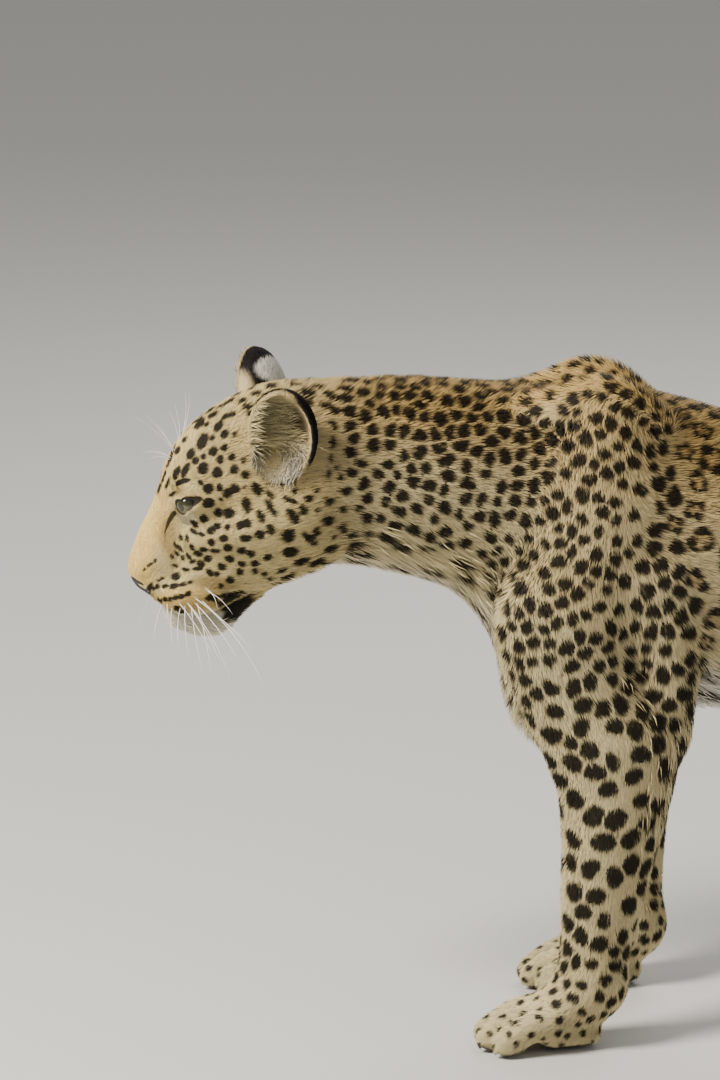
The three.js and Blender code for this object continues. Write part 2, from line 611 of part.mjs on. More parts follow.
// The origin is under the middle of the animal, on the floor.
root.updateMatrixWorld(true);
const outline = new THREE.Box3().setFromObject(root);
const centre = outline.getCenter(new THREE.Vector3());
root.position.set(-centre.x, -centre.y, -outline.min.z);

export default root;
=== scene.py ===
"""A life-size standing leopard around its solids: skin, a coat of tufts, eyes, nose, ears and whiskers."""

import math

import bmesh
import bpy
import numpy as np
from mathutils import Matrix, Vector
from mathutils.kdtree import KDTree


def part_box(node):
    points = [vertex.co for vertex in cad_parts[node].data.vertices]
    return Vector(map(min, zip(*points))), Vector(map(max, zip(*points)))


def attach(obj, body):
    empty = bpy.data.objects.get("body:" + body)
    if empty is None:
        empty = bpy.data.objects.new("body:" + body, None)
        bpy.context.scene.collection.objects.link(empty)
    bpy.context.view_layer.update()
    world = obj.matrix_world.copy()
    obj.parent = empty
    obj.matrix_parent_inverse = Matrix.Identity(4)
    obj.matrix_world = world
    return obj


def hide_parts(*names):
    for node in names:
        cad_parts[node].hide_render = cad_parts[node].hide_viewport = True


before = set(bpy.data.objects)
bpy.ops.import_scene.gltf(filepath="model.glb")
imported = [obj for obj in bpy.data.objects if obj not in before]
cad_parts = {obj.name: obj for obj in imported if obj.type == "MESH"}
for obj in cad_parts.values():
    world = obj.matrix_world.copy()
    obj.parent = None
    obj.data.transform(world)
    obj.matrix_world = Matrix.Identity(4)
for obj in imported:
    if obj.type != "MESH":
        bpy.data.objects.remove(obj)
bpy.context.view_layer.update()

bl_info = {
    "name": "Standing leopard",
    "version": (1, 0, 0),
    "blender": (4, 5, 0),
    "location": "3D View > Sidebar > Leopard",
    "description": "Builds a leopard's skin, coat, eyes, ears and whiskers around its solids",
    "category": "Object",
}

RNG = np.random.default_rng(7)
MM = 0.001
NO_SPOT = 999.0  # the spacing where no spots are scattered
EYE_AREA = 24.0  # how far from the eye's middle the lids reach
SPOT_TRIES = 70000
MOST_SPOTS = 9000
MOST_IN_PIECE = 49000  # tufts of four triangles each


# Small mathematics


def ramp(x, start, end):
    """0 at start and 1 at end, smoothly; start may be the larger."""
    t = np.clip((x - start) / (end - start), 0.0, 1.0)
    return t * t * (3.0 - 2.0 * t)


def mix(a, b, t):
    return a + (b - a) * t


def blend(colour, other, weight):
    """The same for rows of colours, with a weight for each row."""
    return mix(colour, other, weight[:, None])


def unit(v):
    return v / np.maximum(np.linalg.norm(v, axis=-1, keepdims=True), 1e-9)


def soft_min(a, b, blend):
    h = np.maximum(blend - np.abs(a - b), 0.0) / blend
    return np.minimum(a, b) - h * h * blend / 4.0


def soft_max(a, b, blend):
    return -soft_min(-a, -b, blend)


def to_linear(colour):
    """A colour written as sRGB hex, as linear RGB."""
    parts = [int(colour[i : i + 2], 16) / 255.0 for i in (1, 3, 5)]
    return np.array([c / 12.92 if c <= 0.04045 else ((c + 0.055) / 1.055) ** 2.4 for c in parts])


def wave_noise(p, size, seed):
    """Smooth noise from -1 to 1 that changes over about size millimetres, and less over half of that."""
    rng = np.random.default_rng(seed)
    total = np.zeros(len(p))
    weight = 0.0
    for octave in range(2):
        scale = size / 2.0**octave
        share = 0.6**octave
        for _ in range(5):
            direction = rng.normal(size=3)
            direction /= np.linalg.norm(direction)
            wave = p @ direction * (2.0 * math.pi / scale) * rng.uniform(0.6, 1.3)
            total += share * np.sin(wave + rng.uniform(0, 7))
            weight += share * 0.6
    return np.clip(total / weight, -1.0, 1.0)


# The animal's form, in millimetres, in the frame of the solids' source: it faces -X, with its left side to -Y

HEAD_YAW = math.radians(6.5)
HEAD_PIVOT = np.array([-235.0, 0.0, 540.0])
EYE_PLACE = np.array([-382.0, 34.0, 522.0])
EYE_RADIUS = 13.5
LEG_HALF_TRACK = 98.0
HIND_HALF_TRACK = 84.0
SHOULDER_HEIGHT = 420.0
HIP_HEIGHT = 480.0
WRIST_HEIGHT = 62.0
FRONT_SWING = {-1: 0.0, 1: 78.0}
HIND_SWING = {-1: 42.0, 1: -62.0}
NOWHERE = 1e4
REACH = 60.0

YAW = np.array(
    [
        [math.cos(HEAD_YAW), -math.sin(HEAD_YAW), 0.0],
        [math.sin(HEAD_YAW), math.cos(HEAD_YAW), 0.0],
        [0.0, 0.0, 1.0],
    ]
)


def from_head(p):
    """Points of the head's own, unturned frame, in the animal's frame."""
    return (np.asarray(p, float) - HEAD_PIVOT) @ YAW.T + HEAD_PIVOT


def to_head(p):
    """The same the other way round."""
    return (np.asarray(p, float) - HEAD_PIVOT) @ YAW + HEAD_PIVOT


def eye_centre(side):
    return from_head(EYE_PLACE * np.array([1.0, side, 1.0]))


# To the right, up and towards the viewer in a view of the head's left side, in the head's own frame
SIDE_RIGHT = np.array([0.9763, -0.2164, 0.0])
SIDE_UP = np.array([0.0487, 0.2196, 0.9744])
SIDE_BACK = np.array([-0.2108, -0.9513, 0.2250])
LEFT = np.array([1.0, -1.0, 1.0])


def side_view(p, normals):
    """Where both sides of the head lie in that view, from the eye's middle, and how far they face it."""
    q = to_head(p)
    fold = np.where(q[:, 1:2] > 0, LEFT, 1.0)
    off = q * fold - EYE_PLACE * LEFT
    return off @ SIDE_RIGHT, off @ SIDE_UP, (normals @ YAW * fold) @ SIDE_BACK


def patch(x, z, middle, radii, tilt, edge):
    """How far each place of the side view is inside an oval."""
    c, s = math.cos(math.radians(tilt)), math.sin(math.radians(tilt))
    u = ((x - middle[0]) * c + (z - middle[1]) * s) / radii[0]
    v = ((z - middle[1]) * c - (x - middle[0]) * s) / radii[1]
    return ramp(np.hypot(u, v), 1 + edge, 1 - edge)


def cad_middle(node):
    low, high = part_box(node)
    return (np.array(low) + np.array(high)) / 2.0


# From the animal's frame to the part's: the left eye is in the same place in both.
SHIFT = cad_middle("eye_left") / MM - eye_centre(-1)


def placed(p):
    """Millimetres in the animal's frame as metres in the part's."""
    return (np.asarray(p, float) + SHIFT) * MM


def smooth_rows(rows):
    """The rows, with two more on a smooth curve between each and the next."""
    rows = np.array(rows, float)
    last = len(rows) - 1
    made = []
    for i in range(last):
        a, b, c, d = rows[max(i - 1, 0)], rows[i], rows[i + 1], rows[min(i + 2, last)]
        for t in (0, 1 / 3, 2 / 3):
            square, cube = 2 * a - 5 * b + 4 * c - d, 3 * b - a - 3 * c + d
            made.append(0.5 * (2 * b + (c - a) * t + square * t**2 + cube * t**3))
    made.append(rows[-1])
    return np.array(made)


class Tube:
    """A chain of tapered round cones. A row is x, y, z, the radius from the side, and the half width across.

    flow is 1 where the hair lies along the rows' order and -1 where it lies against it.
    """

    def __init__(self, part, blend, rows, flow=1.0):
        self.part = part
        self.blend = blend
        self.flow = flow
        self.line = smooth_rows(rows)
        reach = self.line[:, [3, 4, 3]]
        self.low = (self.line[:, :3] - reach).min(0) - blend - REACH
        self.high = (self.line[:, :3] + reach).max(0) + blend + REACH

    def near(self, p):
        return np.nonzero(((p > self.low) & (p < self.high)).all(1))[0]

    def measure(self, p):
        """The distance to the tube's surface, and the direction of its nearest stretch."""
        best = np.full(len(p), NOWHERE)
        along = np.zeros((len(p), 3))
        for a, b in zip(self.line[:-1], self.line[1:]):
            across = (a[3] / a[4] + b[3] / b[4]) / 2.0
            step = np.array([b[0] - a[0], (b[1] - a[1]) * across, b[2] - a[2]])
            off = p - a[:3]
            t = off[:, 0] * step[0] + off[:, 1] * across * step[1] + off[:, 2] * step[2]
            t = np.clip(t / (step @ step), 0.0, 1.0)
            r = a[3] + (b[3] - a[3]) * t
            w = a[4] + (b[4] - a[4]) * t
            away = off - np.outer(t, b[:3] - a[:3])
            distance = np.sqrt(away[:, 0] ** 2 + (away[:, 1] * r / w) ** 2 + away[:, 2] ** 2) - r
            closer = distance < best
            best[closer] = distance[closer]
            along[closer] = unit(b[:3] - a[:3]) * self.flow
        return best, along


def pair(part, blend, rows, flow=1.0):
    other = [[x, -y, z, r, w] for x, y, z, r, w in rows]
    return [Tube(part, blend, rows, flow), Tube(part, blend, other, flow)]


def trunk_tubes():
    spine = [
        [-12, 0, 452, 106, 80], [55, 0, 456, 142, 102], [135, 0, 444, 143, 112],
        [250, 0, 445, 142, 117], [380, 0, 455, 135, 110], [500, 0, 474, 124, 96],
        [600, 0, 500, 106, 86], [690, 0, 516, 98, 82], [752, 0, 524, 74, 62],
    ]
    breast = [[-16, 0, 405, 75, 72], [-20, 0, 352, 66, 62], [-24, 0, 316, 55, 50], [-15, 0, 301, 44, 43]]
    dock = [[750, 0, 545, 46, 40], [812, 0, 552, 33, 30], [866, 2, 514, 28, 27], [905, 4, 430, 25, 25]]
    nape = [[10, 0, 500, 112, 84], [-110, 0, 523, 100, 78], [-190, 0, 536, 93, 71], [-270, 0, 538, 84, 65]]
    blade_top = [
        [-84, 34, 588, 18, 14], [-36, 38, 600, 22, 16], [8, 42, 607, 25, 17],
        [36, 44, 600, 21, 16], [62, 44, 580, 14, 13],
    ]
    blade = [[8, 46, 584, 36, 19], [8, 58, 556, 48, 26], [-6, 74, 480, 58, 33], [-26, 83, 405, 56, 36]]
    return [
        Tube("trunk", 30, spine),
        Tube("breast", 24, breast),
        Tube("tail", 45, dock),
        Tube("neck", 40, nape, -1.0),
        *pair("shoulder", 24, blade_top, -1.0),
        *pair("shoulder", 40, blade),
    ]


def leaning(rows, swing, top):
    """A leg leans as a whole: what is lower moves further back."""
    return [[x + swing * max(1 - max(z, WRIST_HEIGHT) / top, 0), y, z, r, w] for x, y, z, r, w in rows]


def paw_tubes(x, y, scale):
    def at(forward, across, z, r, w):
        return [x - forward * scale, y + across * scale, z * scale, r * scale, w * scale]

    tubes = [
        Tube("paw", 16, [at(0, 0, 62, 31, 30), at(16, 0, 44, 29, 32), at(44, 0, 30, 23, 37)]),
        Tube("paw", 10, [at(4, 0, 15, 16.5, 24), at(36, 0, 13, 15.5, 32)]),
    ]
    for across, back in [(-30, 12), (-10.5, 0), (10.5, 0), (30, 12)]:
        toe = [
            at(50 - back, across * 0.9, 31, 14, 11), at(74 - back, across, 27, 15.5, 11.5),
            at(94 - back, across * 1.05, 13.5, 16, 11),
        ]
        tubes.append(Tube("paw", 7, toe))
    return tubes


def leg_tubes(part, side, track, swing, top, chains, ankle, paw_scale):
    y = side * track
    made = []
    for blend, rows in chains:
        rows = [[x, y + side * dy, z, r, w] for x, dy, z, r, w in rows]
        made.append(Tube(part, blend, leaning(rows, swing, top)))
    foot = leaning([[ankle, y, WRIST_HEIGHT, 1, 1]], swing, top)[0][0]
    return made + paw_tubes(foot, y, paw_scale)


FRONT_CHAINS = [
    (32, [[-38, -14, 405, 60, 36], [-19, -8, 350, 62, 38], [3, -4, 300, 58, 37]]),
    (20, [[56, -12, 440, 42, 28], [64, -6, 370, 33, 25], [66, -2, 306, 21, 19]]),
    (20, [
        [17, -1, 286, 61, 38], [11, 0, 210, 49, 35], [3, 1, 150, 41, 31],
        [-3, 1, 100, 35, 29], [-6, 1, 60, 33, 31],
    ]),
]
HIND_CHAINS = [
    (40, [[678, -30, 522, 84, 40], [648, -14, 425, 82, 42], [622, -4, 345, 54, 35]]),
    (30, [[752, -34, 505, 52, 32], [742, -20, 410, 50, 31], [716, -10, 310, 36, 24], [748, -2, 230, 22, 17]]),
    (26, [[628, -2, 335, 48, 34], [682, 0, 262, 42, 30], [744, 0, 196, 25, 20], [776, 0, 166, 22, 18]]),
    (14, [[774, 0, 168, 23, 19], [758, 0, 112, 23, 21], [744, 0, 60, 25, 25]]),
]
TAIL = [
    [905, 4, 430, 25, 25], [928, 8, 330, 23, 23], [944, 14, 235, 22, 22], [985, 20, 155, 21, 21],
    [1052, 22, 112, 20, 20], [1126, 18, 126, 18, 18], [1172, 12, 178, 15, 15], [1186, 8, 216, 9, 9],
]


def body_tubes():
    made = trunk_tubes()
    for side in (-1, 1):
        swing = FRONT_SWING[side]
        made += leg_tubes("foreleg", side, LEG_HALF_TRACK, swing, SHOULDER_HEIGHT, FRONT_CHAINS, -8, 1.0)
    for side in (-1, 1):
        swing = HIND_SWING[side]
        made += leg_tubes("hindleg", side, HIND_HALF_TRACK, swing, HIP_HEIGHT, HIND_CHAINS, 738, 0.93)
    return made + [Tube("tail", 20, TAIL)]


def head_tubes():
    x, y, z = EYE_PLACE
    skull = [[-258, 0, 540, 74, 63], [-300, 0, 547, 70, 66], [-338, 0, 543, 58, 57], [-369, 0, 525, 35, 38]]
    bridge = [[-364, 0, 523, 32, 30], [-390, 0, 495, 29, 24], [-411, 0, 460, 24, 22], [-412, 0, 451, 22, 20]]
    lip = [
        [-403, 16, 435, 13, 13], [-389, 26, 432, 18.5, 18], [-366, 32, 438, 22, 19], [-350, 34, 450, 22, 18],
    ]
    jaw = [[-386, 0, 411, 17, 21], [-359, 0, 409, 24, 28], [-338, 0, 425, 21, 31], [-305, 0, 466, 32, 43]]
    return [
        Tube("head", 40, skull, -1.0),
        *pair("head", 16, [[-366, 34, 522, 23, 18], [-330, 44, 528, 34, 21]]),
        Tube("head", 16, bridge, -1.0),
        Tube("head", 16, [[-388, 0, 460, 32, 31], [-335, 0, 486, 56, 53]]),
        *pair("muzzle", 14, lip),
        *pair("head", 12, [[x + 3, y, z, 16, 16], [x + 8, y + 2, z, 16, 16]]),
        *pair("head", 16, [[-372, 38, 486, 17, 13], [-330, 55, 497, 28, 18], [-286, 58, 510, 36, 22]]),
        *pair("head", 18, [[-364, 32, 456, 23, 17], [-326, 43, 468, 32, 22], [-286, 48, 492, 46, 27]]),
        *pair("head", 12, [[-386, 18, 541, 11, 10], [-380, 36, 541, 12, 9], [-363, 47, 530, 13, 9]]),
        Tube("jaw", 10, jaw),
    ]


HEAD_BLEND = 30
BODY = body_tubes()
HEAD = head_tubes()
PARTS = ("trunk", "breast", "neck", "shoulder", "foreleg", "hindleg", "paw", "tail", "head", "muzzle", "jaw")


def blended(tubes, p):
    distance = np.full(len(p), NOWHERE)
    for tube in tubes:
        k = tube.near(p)
        if len(k):
            distance[k] = soft_min(distance[k], tube.measure(p[k])[0], tube.blend)
    return distance


def flesh(p):
    """The signed distance to the solids' surface, out to the tips of the coat."""
    return soft_min(blended(BODY, p), blended(HEAD, to_head(p)), HEAD_BLEND)


def coat_depth(p):
    """How far the skin lies inside the solids' surface."""
    x, y, z = p.T
    depth = mix(7.0, 4.5, ramp(z, 380, 270))
    depth = mix(depth, 7.0, ramp(x, 820, 850))
    depth = mix(depth, 3.0, ramp(z, 90, 60) * ramp(x, 850, 820))
    belly = ramp(z, 350, 305) * ramp(np.abs(y), 80, 55) * ramp(x, 640, 560) * ramp(z, 235, 255)
    depth = mix(depth, 12.0, belly)
    return mix(depth, mix(4.2, 2.4, ramp(x, -330, -395)), ramp(x, -262, -315))


def skin_field(p):
    return flesh(p) + coat_depth(p)


def chain_distance(p, points, radius):
    """The distance to a bent rod through points."""
    best = np.full(len(p), NOWHERE)
    for a, b in zip(points[:-1], points[1:]):
        step = b - a
        t = np.clip((p - a) @ step / (step @ step), 0.0, 1.0)
        best = np.minimum(best, np.linalg.norm(p - a - np.outer(t, step), axis=1) - radius)
    return best


LIP_LINE = np.array([[-416, 0, 422], [-410, 12, 420], [-391, 29, 418.5], [-369, 42, 430], [-338, 50, 438]])


def face_field(p):
    """The skin of the head with the line of the mouth and the groove under the nose."""
    d = skin_field(p)
    q = to_head(p)
    for side in (-1, 1):
        lips = LIP_LINE * np.array([1.0, side, 1.0])
        d = soft_max(d, -chain_distance(q, lips, 2.3), 2.2)
    groove = np.array([[-424, 0, 430], [-413, 0, 417]], float)
    return soft_max(d, -chain_distance(q, groove, 1.4), 2.0)


# The eye's opening: its edge in the side view, right of and above the eye's middle, and the way that it opens
EYE_EDGE = np.array([
    (-14.6, -10.2), (-13.6, -3.8), (-8.6, 0.6), (-1.8, 2.2),
    (4.2, 1.0), (0.7, -4.2), (-4.6, -8.2), (-10.2, -10.8),
])
EYE_OPENS = unit(np.array([-0.70, -0.71, -0.06]))
EYE_RIGHT = unit(np.cross([0.0, 0.0, 1.0], EYE_OPENS))
EYE_HIGH = np.cross(EYE_OPENS, EYE_RIGHT)
TURNS = np.linspace(-math.pi, math.pi, 72, endpoint=False)


def eye_edge():
    """The angle from the middle of the eye's opening to its edge, for each of the turns round it."""
    x, z = EYE_EDGE.T / (EYE_RADIUS + 1.3)
    size = np.maximum(np.hypot(x, z) / 0.97, 1.0)
    x, z = x / size, z / size
    way = np.outer(x, SIDE_RIGHT) + np.outer(z, SIDE_UP) + np.outer(np.sqrt(1 - x * x - z * z), SIDE_BACK)
    turn = np.arctan2(way @ EYE_HIGH, way @ EYE_RIGHT)
    angle = np.interp(TURNS, turn, np.arccos(way @ EYE_OPENS), period=2 * math.pi)
    # A smoothed outline: each angle with its two neighbours on either side
    return sum(share * np.roll(angle, step) for share, step in ((1, 2), (2, 1), (3, 0), (2, -1), (1, -2))) / 9


EYE_ANGLES = eye_edge()


def eye_ratio(q):
    """For points in the head's frame: 1 on the edge of the eye's opening and more outside, and the height."""
    fold = np.where(q[:, 1:2] > 0, LEFT, 1.0)
    way = unit(q * fold - EYE_PLACE * LEFT)
    turn = np.arctan2(way @ EYE_HIGH, way @ EYE_RIGHT)
    angle = np.arccos(np.clip(way @ EYE_OPENS, -1, 1))
    return angle / np.interp(turn, TURNS, EYE_ANGLES, period=2 * math.pi), way @ EYE_HIGH


def eye_distance(q):
    """The distance from the middle of the nearer eye."""
    return np.linalg.norm(np.stack([q[:, 0], np.abs(q[:, 1]), q[:, 2]], 1) - EYE_PLACE, axis=1)


def open_lids(p):
    """Sinks the skin of the eyes' openings behind the eyeballs, and raises it round them as lids."""
    q = to_head(p)
    near = np.nonzero(eye_distance(q) < 22)[0]
    q = q[near]
    ratio, high = eye_ratio(q)
    centre = EYE_PLACE * np.where(q[:, 1:2] > 0, 1.0, LEFT)
    off = q - centre
    r = np.linalg.norm(off, axis=1)
    rise = mix(1.2, 2.3, ramp(high, -0.15, 0.25)) - 8 * ramp(ratio, 1.5, 2.6)
    lid = np.maximum(r, EYE_RADIUS + rise)
    target = mix(EYE_RADIUS - 1.8, lid, ramp(ratio, 0.96, 1.13))
    p = p.copy()
    p[near] = from_head(centre + off * (target / r)[:, None])
    return p


def settle(field, p, rounds=3, most=4.0):
    """Points moved on to the surface where the field is 0, by about most at the most in each round."""
    p = p.copy()
    for _ in range(rounds):
        d = field(p)
        slope = np.stack([(field(p + e) - d) / 0.4 for e in np.eye(3) * 0.4], 1)
        size = np.maximum((slope**2).sum(1), 0.05)
        p -= slope * np.clip(d / size, -most, most)[:, None]
    return p


def surface_net(field, low, high, step):
    """The surface where the field is 0, as vertices and four-sided faces."""
    axes = [np.arange(a - step, b + 2 * step, step) for a, b in zip(low, high)]
    shape = tuple(len(a) for a in axes)
    grid = np.stack(np.meshgrid(*axes, indexing="ij"), -1).reshape(-1, 3)
    value = field(grid).reshape(shape)
    inside = value < 0
    n = [s - 1 for s in shape]
    corners = [(a, b, c) for a in (0, 1) for b in (0, 1) for c in (0, 1)]
    count = sum(inside[a : a + n[0], b : b + n[1], c : c + n[2]].astype(int) for a, b, c in corners)
    cells = np.stack(np.nonzero((count > 0) & (count < 8)), 1)
    at = {c: value[tuple((cells + np.array(c)).T)] for c in corners}
    total = np.zeros((len(cells), 3))
    crossed = np.zeros(len(cells))
    for p in corners:
        for axis in range(3):
            if p[axis]:
                continue
            q = tuple(1 if i == axis else c for i, c in enumerate(p))
            crosses = (at[p] < 0) != (at[q] < 0)
            t = at[p] / np.where(crosses, at[p] - at[q], 1.0)
            place = np.array(p, float) + np.outer(t, np.eye(3)[axis])
            total[crosses] += place[crosses]
            crossed += crosses
    vertices = np.array([a[0] for a in axes]) + (cells + total / crossed[:, None]) * step
    number = np.full(n, -1)
    number[tuple(cells.T)] = np.arange(len(cells))
    faces = []
    for axis in range(3):
        one, two = [i for i in range(3) if i != axis]
        first = inside.take(range(shape[axis] - 1), axis)
        second = inside.take(range(1, shape[axis]), axis)
        edges = np.stack(np.nonzero(first != second), 1)
        i, j = edges[:, one], edges[:, two]
        edges = edges[(i > 0) & (j > 0) & (i < n[one]) & (j < n[two])]
        leaving = first[tuple(edges.T)]
        e1, e2 = np.eye(3, dtype=int)[one], np.eye(3, dtype=int)[two]
        round_edge = ((0, 0), (1, 0), (1, 1), (0, 1))
        quad = np.stack([number[tuple((edges - s * e1 - t * e2).T)] for s, t in round_edge], 1)
        turned = leaving if axis == 1 else ~leaving
        quad[turned] = quad[turned][:, ::-1]
        faces.append(quad)
    return vertices, np.concatenate(faces)


def survey(p):
    """For each point, the distance to each named part and the way that the hair lies."""
    distance = {part: np.full(len(p), 200.0) for part in PARTS}
    flow = np.zeros((len(p), 3))
    for tubes, q, turned in ((BODY, p, False), (HEAD, to_head(p), True)):
        for tube in tubes:
            k = tube.near(q)
            if not len(k):
                continue
            d, along = tube.measure(q[k])
            if turned:
                along = along @ YAW.T
            flow[k] += along * np.exp(-np.clip(d + 8.0, 0, 80) / 7.0)[:, None]
            distance[tube.part][k] = np.minimum(distance[tube.part][k], d)
    return distance, flow


def part_shares(distance):
    weight = {part: np.exp(-np.clip(d + 10.0, 0, 150) / 9.0) for part, d in distance.items()}
    total = sum(weight.values()) + 1e-9
    return {part: w / total for part, w in weight.items()}


# Settings


def hex_property(name, description, default):
    colour = list(to_linear(default))
    return bpy.props.FloatVectorProperty(
        name=name, description=description, subtype="COLOR", size=3, min=0, max=1, default=colour
    )


class LeopardCoat(bpy.types.PropertyGroup):
    """How much coat there is, and its colours."""

    tufts: bpy.props.IntProperty(
        name="Tufts", description="Short tufts all over", default=318000, min=1000
    )
    long_tufts: bpy.props.IntProperty(
        name="Long tufts", description="Longer, bent tufts", default=7500, min=0
    )
    tan: hex_property("Tan", "Back and neck", "#b89a60")
    buff: hex_property("Buff", "Shoulder, flank and legs", "#d2c193")
    cream: hex_property("Cream", "Cheeks, muzzle and inner legs", "#dacb9c")
    white: hex_property("White", "Chin, throat, breast and belly", "#e9e4d8")
    nose_bridge: hex_property("Nose bridge", "Short hair above the nose", "#dfc27e")
    spot: hex_property("Spot", "Spots and rosettes", "#0f0c0a")
    rosette: hex_property("Rosette", "Inside a rosette", "#a8834e")


class LeopardBare(bpy.types.PropertyGroup):
    """What has no hair: eyes, nose and whiskers."""

    iris: hex_property("Iris", "The coloured ring of the eye", "#4f4d2e")
    pupil: hex_property("Pupil", "The middle of the eye", "#050505")
    lid: hex_property("Lid", "Rims of the eyelids and lips", "#120d0b")
    nose: hex_property("Nose", "Nose leather", "#1c1413")
    pad: hex_property("Pad", "Pads under the paws", "#2a211f")
    whisker: hex_property("Whisker", "Whiskers", "#f1eee6")


def coat_settings():
    return bpy.context.scene.leopard_coat


def bare_settings():
    return bpy.context.scene.leopard_bare


def colours_of(settings, names):
    """The settings' colours of these names, as arrays."""
    return [np.array(getattr(settings, name)[:]) for name in names.split()]


# Meshes from arrays


def mesh_object(name, vertices, faces, material, colours=None, normals=None, uvs=None):
    """A smooth mesh object from vertices in millimetres and faces that all have as many sides."""
    faces = np.asarray(faces, np.int32)
    count, sides = faces.shape
    mesh = bpy.data.meshes.new(name)
    mesh.vertices.add(len(vertices))
    mesh.vertices.foreach_set("co", placed(vertices).astype(np.float32).ravel())
    mesh.loops.add(count * sides)
    mesh.loops.foreach_set("vertex_index", faces.ravel())
    mesh.polygons.add(count)
    mesh.polygons.foreach_set("loop_start", np.arange(0, count * sides, sides, dtype=np.int32))
    mesh.polygons.foreach_set("use_smooth", np.ones(count, bool))
    mesh.update(calc_edges=True)
    if colours is not None:
        layer = mesh.color_attributes.new("Markings", "FLOAT_COLOR", "POINT")
        layer.data.foreach_set("color", np.c_[colours, np.ones(len(colours))].astype(np.float32).ravel())
    if uvs is not None:
        layer = mesh.uv_layers.new(name="OFBake")
        layer.uv.foreach_set("vector", uvs[faces.ravel()].astype(np.float32).ravel())
    if normals is not None:
        mesh.normals_split_custom_set_from_vertices(normals.astype(np.float32).tolist())
    mesh.materials.append(material)
    piece = bpy.data.objects.new(name, mesh)
    bpy.context.scene.collection.objects.link(piece)
    return piece


def triangles(faces):
    """Four-sided faces cut in two; triangles stay as they are."""
    return np.concatenate([faces[:, [0, 1, 2]], faces[:, [0, 2, 3]]]) if faces.shape[1] == 4 else faces


def vertex_normals(vertices, faces):
    tri = triangles(np.asarray(faces))
    a, b, c = (vertices[tri[:, i]] for i in range(3))
    face = np.cross(b - a, c - a)
    normal = np.zeros_like(vertices)
    for i in range(3):
        np.add.at(normal, tri[:, i], face)
    return unit(normal)


# Materials


def add_node(material, kind, links=(), **settings):
    """Adds a node, sets its sockets and properties by name, and links (output, input) pairs to it."""
    tree = material.node_tree
    node = tree.nodes.new(kind)
    for key, value in settings.items():
        label = key.replace("_", " ")
        if label in node.inputs:
            node.inputs[label].default_value = value
        else:
            setattr(node, key, value)
    for output, label in links:
        tree.links.new(output, node.inputs[label])
    return node


def principled(name, **settings):
    """A new material with one shader, its numbers set on the shader's own sockets."""
    material = bpy.data.materials.new(name)
    material.use_nodes = True
    shader = material.node_tree.nodes["Principled BSDF"]
    for key, value in settings.items():
        shader.inputs[key.replace("_", " ")].default_value = value
    return material, shader


def show_markings(material, shader):
    """Gives the shader the colours that are stored on the vertices."""
    markings = add_node(material, "ShaderNodeVertexColor", layer_name="Markings")
    material.node_tree.links.new(markings.outputs["Color"], shader.inputs["Base Color"])


def roughen(material, shader, kind, output, pattern, strength, distance):
    """Gives the shader a bump from one of Blender's patterns, which has a size in the object's own metres."""
    place = add_node(material, "ShaderNodeTexCoord")
    grain = add_node(material, kind, [(place.outputs["Object"], "Vector")], **pattern)
    height = [(grain.outputs[output], "Height")]
    bump = add_node(material, "ShaderNodeBump", height, Strength=strength, Distance=distance)
    material.node_tree.links.new(bump.outputs["Normal"], shader.inputs["Normal"])


def coat_material():
    # Dense short fur. Each tuft's colour is stored on its vertices.
    material, shader = principled("leopard_fur", Roughness=0.65, Specular_IOR_Level=0.15)
    show_markings(material, shader)
    return material


def skin_material():
    # The hide under the fur: the same markings, with a fine lie of hair as bump.
    material, shader = principled("leopard_hide", Roughness=0.7, Specular_IOR_Level=0.25)
    show_markings(material, shader)
    hair = {"Scale": 1 / (2.2 * MM), "Detail": 3.0}
    roughen(material, shader, "ShaderNodeTexNoise", "Fac", hair, 0.5, 0.8 * MM)
    return material


def leather_material():
    # Bare nose leather: fine pebbles, a little moist.
    material, shader = principled("moist_nose_leather", Roughness=0.42, Specular_IOR_Level=0.5)
    shader.inputs["Base Color"].default_value = (*bare_settings().nose, 1)
    pebbles = {"Scale": 1 / (1.3 * MM), "feature": "SMOOTH_F1"}
    roughen(material, shader, "ShaderNodeTexVoronoi", "Distance", pebbles, 0.35, 0.3 * MM)
    return material


def eye_material():
    # A wet eye: its iris and pupil are stored on the vertices.
    material, shader = principled(
        "eye_wet", Roughness=0.08, Coat_Weight=0.6, Coat_Roughness=0.02, Specular_IOR_Level=0.4
    )
    show_markings(material, shader)
    return material


def whisker_material():
    # Stiff white whiskers, a little shiny.
    material, shader = principled("whisker", Roughness=0.35, Specular_IOR_Level=0.5)
    shader.inputs["Base Color"].default_value = (*bare_settings().whisker, 1)
    return material


def floor_material():
    # A pale, even studio floor.
    material, shader = principled("studio_floor", Roughness=0.85, Specular_IOR_Level=0.2)
    shader.inputs["Base Color"].default_value = (0.66, 0.65, 0.63, 1)
    return material


# Markings


